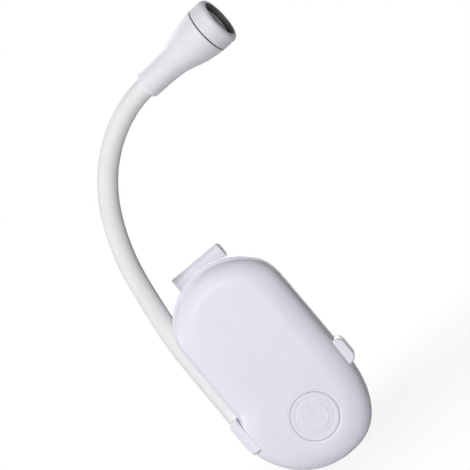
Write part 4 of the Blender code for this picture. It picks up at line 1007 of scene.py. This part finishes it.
def ferrule():
    radius, top, foot = NECK_BORE - GAP, -0.0004, -0.0118
    profile = [(0, top), (radius, top), (radius, foot), (0, foot)]
    made = turned("ferrule", profile, (NECK_X, NECK_Y, NECK_BASE_Z), (0, 0, 1), STEEL, 32)
    stand_for(made, "housing", "neck_ferrule")


neck_skins()
ferrule()


# ---- head ----

HEAD_BODY = f"neck_link_{NECK_LINKS}"
HEAD_BASE = neck_point(NECK_LENGTH)
HEAD_AXIS = neck_direction(NECK_LENGTH)
# The bell's outline, as shares of its length and of the head's radius
HEAD_SHARES = (
    (0.031, 0.55), (0.258, 0.565), (0.381, 0.59), (0.504, 0.64), (0.572, 0.7), (0.639, 0.77),
    (0.775, 0.885), (0.898, 0.96),
)


def head_piece(name, profile, material, nodes, ring=False, steps=96, sharp=32):
    made = turned(name, profile, HEAD_BASE, HEAD_AXIS, material, steps, ring, sharp)
    stand_for(made, HEAD_BODY, *nodes)


def smooth_profile(points, per_span):
    """Passes a smooth curve through points by Catmull-Rom, with its ends held."""
    result = []
    padded = [Vector(point) for point in (points[0], *points, points[-1])]
    for a, b, c, d in zip(padded, padded[1:], padded[2:], padded[3:]):
        for t in shares(per_span)[:-1]:
            square = (2 * a - 5 * b + 4 * c - d) * t**2
            result.append(0.5 * (2 * b + (c - a) * t + square + (3 * b - a - 3 * c + d) * t**3))
    return [tuple(point) for point in (*result, padded[-1])]


def head_case():
    """The bell, its dark seam, its front ring and, inside that, a dark collar that is painted
    shade on the mouth's inner wall.
    """
    shape = [(HEAD_RADIUS * radius, HEAD_SHELL_LENGTH * height) for height, radius in HEAD_SHARES]
    outer = [(0.0041, 0.0), (0.0044, 0.0001), (0.0046, 0.0004)]
    outer += smooth_profile([*shape, (HEAD_RADIUS - 0.00012, 0.0274)], 6)
    outer += [(HEAD_RADIUS - 0.00005, 0.0281), (HEAD_RADIUS - 0.00018, SHELL_END)]
    inner = [(HEAD_BORE, SHELL_END), (HEAD_BORE, LEDGE_START), (0.0058, LEDGE_START)]
    inner += [(0.0038, 0.014), (0.0038, 0.0)]
    head_piece("lamp_shell", outer + inner, HEAD, ["head_shell"], ring=True)
    seam, low, high = HEAD_RADIUS - 0.00025, SHELL_END + 0.00002, 0.02866
    gasket = [(seam, high), (seam, low), (HEAD_BORE, low), (HEAD_BORE, high)]
    head_piece("lamp_seam", gasket, GASKET, ["head_gasket"], ring=True)
    bore, top, lip, nose = LENS_RADIUS + GAP, HEAD_LENGTH - 0.0001, 0.0002, 0.0016
    low, foot, seat = high + 0.00002, 0.0258, LENS_BASE - GAP
    rim = [(bore, LENS_BASE + 0.0011), *fillet(HEAD_MOUTH, top, lip, -lip, 4)[::-1]]
    rim += fillet(HEAD_RADIUS, top, -nose, -nose, 12)
    rim += [(HEAD_RADIUS, 0.02882), (HEAD_RADIUS - 0.00013, low), (SPIGOT_RADIUS, low)]
    rim += [(SPIGOT_RADIUS, foot), (WINDOW_RADIUS, foot), (WINDOW_RADIUS, seat), (bore, seat)]
    head_piece("lamp_ring", rim, RING, ["head_ring"], ring=True)
    # Painted shade: the dark collar lines the mouth to stand for the shade inside the head
    low, high, shade = LENS_BASE + 0.0009, LENS_BASE + 0.0016, bore - 0.0001
    collar = [(HEAD_MOUTH + 0.0001, HEAD_LENGTH - 0.0002)]
    collar += [(HEAD_MOUTH - 0.0001, HEAD_LENGTH - 0.0003), (shade, high), (shade, low)]
    collar.append((HEAD_MOUTH, low))
    head_piece("lens_collar", collar, COLLAR_SHADE, [], ring=True)


def head_light():
    """The lens, and behind it the board, the light source and the reflector."""
    glass = [(0, LENS_BASE + 0.0017)]
    for share in shares(8, 1):
        glass.append((WINDOW_RADIUS * share, LENS_BASE + 0.0012 + 0.0005 * (1 - share**2)))
    glass += [(WINDOW_RADIUS, LENS_BASE), (0, LENS_BASE)]
    head_piece("lamp_lens", glass, LENS, ["lens"])
    low, high, board = LEDGE_START + GAP, LEDGE_START + GAP + 0.001, 0.0067
    plate = [(0, high), (board, high), (board, low), (0, low)]
    head_piece("lamp_board", plate, BOARD, ["led_board"])
    radius, centre = 0.00175, high + 0.0011
    dome = [(0, centre + radius)]
    for k in range(1, 9):
        turn = quarter(k, 8)
        dome.append((radius * math.sin(turn), centre + radius * math.cos(turn)))
    dome += [(radius, high + GAP), (0, high + GAP)]
    head_piece("lamp_led", dome, RESIN, ["led"], steps=40)
    throat, mouth, foot, top = 0.00205, 0.0052, high + GAP, LENS_BASE - GAP
    bowl = [(0.0058, top), (0.0058, top - 0.0008), (throat + 0.0006, foot), (throat, foot)]
    for share in shares(12, 1):
        bowl.append((throat + (mouth - throat) * share**0.62, foot + (top - foot) * share))
    head_piece("lamp_reflector", bowl, CHROME, ["reflector"], ring=True, sharp=50)


head_case()
head_light()


# ---- inside the housing ----


def screw(name, x, z, y, node, facing=1):
    """A pan head screw with a cross recess. Its head faces the back where facing is 1."""
    length = 0.0122 if facing > 0 else 0.0047
    edge, under, shank = 0.0005, -0.0011, 0.001
    profile = [(0, 0.0), *fillet(SCREW_HEAD, 0, -edge, -edge, 6, 1), (SCREW_HEAD, under)]
    profile += [(shank, under), (shank, under - length + shank), (0, under - length)]
    made = turned(name, profile, (x, y, z), (0, facing, 0), SCREW_STEEL, 40)
    low, high = sorted((y - facing * 0.0006, y + facing * 0.001))
    for half_x, half_z in ((0.00024, 0.0011), (0.0011, 0.00024)):
        start, end = (x - half_x, low, z - half_z), (x + half_x, high, z + half_z)
        combine(made, box(name + "_cross", start, end, SCREW_STEEL))
    finish_edges(made, 40)
    stand_for(made, "housing", node)


def screws():
    for number, (x, z) in enumerate(SCREW_PLACES, 1):
        screw(f"screw_{number}", x, z, BACK_Y - 0.0004, f"housing_screw_{number}")
    for number, (x, z) in enumerate(BOARD_SCREW_PLACES, 1):
        screw(f"small_screw_{number}", x, z, BOARD_SCREW_Y, f"board_screw_{number}", -1)


def cells():
    """Two cells that point opposite ways, with a tip at one end and rounded rims."""
    radius, length, tip, rim = 0.00525, 0.0445, 0.0019, 0.0006
    shoulder, band = length - 0.0008, (0.0335, 0.034)
    profile = [(0, length), (tip - 0.0003, length), (tip, length - 0.0003), (tip, shoulder)]
    profile += [(radius - 0.0009, shoulder), *fillet(radius, shoulder, -rim, -rim, 5, 1)]
    profile += [*fillet(radius, 0, -rim, rim, 5)[::-1], (0, 0)]
    places = ((-CELL_X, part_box("battery_1")[0][2], 1), (CELL_X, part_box("battery_2")[0][2], -1))
    for number, (x, base, way) in enumerate(places, 1):
        start = base if way > 0 else base + length
        material = cell_material(f"cell_{number}_wrap", *(start + way * edge for edge in band))
        made = turned(f"cell_{number}", profile, (x, CELL_Y, start), (0, 0, way), material, 64)
        stand_for(made, "housing", f"battery_{number}")


def contact_spring(name, node, x, base, way):
    """A cone of wire, with its foot at base."""
    turns, radius, foot, narrowing, height = 2, 0.00025, 0.0036, 0.0018, 0.0015
    points = []
    for share in shares(turns * 28):
        turn = 2 * math.pi * turns * share
        around = foot - narrowing * share
        z = base + way * (radius + height * share)
        points.append((x + around * math.cos(turn), CELL_Y + around * math.sin(turn), z))
    stand_for(wire(name, points, radius, NICKEL, 10), "housing", node)


def contacts():
    low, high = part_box("negative_spring")[0][2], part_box("bridge_spring")[1][2]
    contact_spring("spring_negative", "negative_spring", -CELL_X, low, 1)
    contact_spring("spring_bridge", "bridge_spring", CELL_X, high, -1)
    for node in ("negative_plate", "positive_plate", "bridge_plate"):
        low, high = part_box(node)
        plate = box("contact_" + node.split("_")[0], low, high, NICKEL, 0.00012)
        stand_for(plate, "housing", node)


def switch_board():
    low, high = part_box("circuit_board")
    front = low[1]
    stand_for(box("board_switch", low, high, BOARD, 0.0001), "housing", "circuit_board")
    low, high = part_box("tact_switch")
    body = box("switch_body", low, high, BLACK, 0.0003)
    well = [((0, low[1] - 0.001, BUTTON_Z), (0, low[1] + 0.0014, BUTTON_Z))]
    drill(body, "well", well, 0.0019)
    finish_edges(body, 40)
    stand_for(body, "housing", "tact_switch")
    for name, x, z, half_x, half_z in (
        ("chip_driver", -0.006, 0.0095, 0.0016, 0.0022),
        ("chip_coil", 0.0058, 0.0105, 0.0018, 0.0018),
        ("chip_small", -0.0058, 0.0035, 0.0008, 0.0012),
    ):
        low = (x - half_x, front - 0.0011, z - half_z)
        high = (x + half_x, front + 0.0001, z + half_z)
        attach(box(name, low, high, BLACK, 0.0002), "housing")


screws()
cells()
contacts()
switch_board()


# ---- stage, light and camera ----

WHITE = (1, 1, 1, 1)
LIGHT_AIM = Vector((0.02, 0, 0.07))
CAMERA_TARGET = Vector((0.0179, PART_Y, 0.0709))
CAMERA_DISTANCE = 0.85
CAMERA_YAW = math.radians(4)
CAMERA_PITCH = math.radians(1)
CAMERA_ROLL = math.radians(40)
FRAME_WIDTH = 0.15667
SENSOR = 36.0


def seen_directly(tree):
    """1 for what the camera, gloss and glass see, and 0 for light that spreads."""
    path = add_node(tree, "LightPath")
    total = path.outputs["Is Camera Ray"]
    for name in ("Is Glossy Ray", "Is Transmission Ray"):
        either = add_node(tree, "Math", total, path.outputs[name], operation="MAXIMUM")
        total = either.outputs[0]
    return total


def send_mix(tree, output, share, first, second):
    """Sends a mix of two shaders to the output node."""
    mix = add_node(tree, "MixShader", share, first.outputs[0], second.outputs[0])
    tree.links.new(mix.outputs[0], tree.nodes[output].inputs["Surface"])


def floor_material():
    """Pale paper that keeps the shadow near the light and goes over to plain white further out."""
    material, tree = new_material("floor_paper", Roughness=0.9, Specular_IOR_Level=0.0)
    stain(tree, spread(tree, noise(tree, 60, 3)), (0.64, 0.64, 0.64), (0.66, 0.66, 0.66))
    glow = add_node(tree, "Emission", Strength=1.0)
    away = add_node(tree, "VectorMath", object_space(tree), operation="LENGTH")
    reach = spread(tree, away.outputs["Value"], 0.88, 1.0, start=0.03, end=0.2)
    share = add_node(tree, "Math", seen_directly(tree), reach, operation="MULTIPLY")
    send_mix(tree, "Material Output", share.outputs[0], tree.nodes["Principled BSDF"], glow)
    return material


def studio():
    bpy.ops.mesh.primitive_plane_add(size=6.0, location=(0.0, 0.0, BOTTOM_Z - 0.0003))
    floor = bpy.context.object
    floor.name = "studio_floor"
    floor.data.materials.append(floor_material())
    world = bpy.data.worlds.new("studio")
    SCENE.world = world
    world.use_nodes = True
    tree = world.node_tree
    dim = tree.nodes["Background"]
    dim.inputs["Color"].default_value = WHITE
    dim.inputs["Strength"].default_value = 0.02
    seen = add_node(tree, "Background", Color=WHITE, Strength=1.0)
    send_mix(tree, "World Output", seen_directly(tree), dim, seen)


def lamp(name, place, size, power):
    """A square light, its size in metres and its power in watts."""
    data = bpy.data.lights.new(name, "AREA")
    data.shape = "RECTANGLE"
    data.size = data.size_y = size
    data.energy = power
    obj = bpy.data.objects.new(name, data)
    SCENE.collection.objects.link(obj)
    obj.location = place
    obj.rotation_mode = "QUATERNION"
    obj.rotation_quaternion = (LIGHT_AIM - Vector(place)).to_track_quat("-Z", "Y")


def camera():
    data = bpy.data.cameras.new("camera")
    obj = bpy.data.objects.new("camera", data)
    SCENE.collection.objects.link(obj)
    SCENE.camera = obj
    level = math.cos(CAMERA_PITCH)
    aside, ahead = math.sin(CAMERA_YAW) * level, math.cos(CAMERA_YAW) * level
    back = Vector((aside, -ahead, math.sin(CAMERA_PITCH)))
    up = Vector((math.sin(CAMERA_ROLL), 0, math.cos(CAMERA_ROLL)))
    right = up.cross(back).normalized()
    up = back.cross(right).normalized()
    turn = Matrix((right, up, back)).transposed().to_4x4()
    obj.matrix_world = Matrix.Translation(CAMERA_TARGET + back * CAMERA_DISTANCE) @ turn
    data.sensor_width = SENSOR
    data.lens = SENSOR * CAMERA_DISTANCE / FRAME_WIDTH
    data.clip_start, data.clip_end = 0.05, 20


studio()
lamp("key", (-0.19, -1.2, 0.35), 0.5, 10.3)
lamp("left", (-1.2, 0.0, 0.35), 0.5, 4.2)
lamp("high", (-0.18, -0.78, 1.03), 0.16, 3.4)
lamp("back", (-0.3, 0.7, 0.9), 0.5, 1.6)
lamp("rear", (-0.05, 1.25, 0.22), 0.5, 4.0)
camera()

bpy.context.scene.view_settings.view_transform = "Standard"
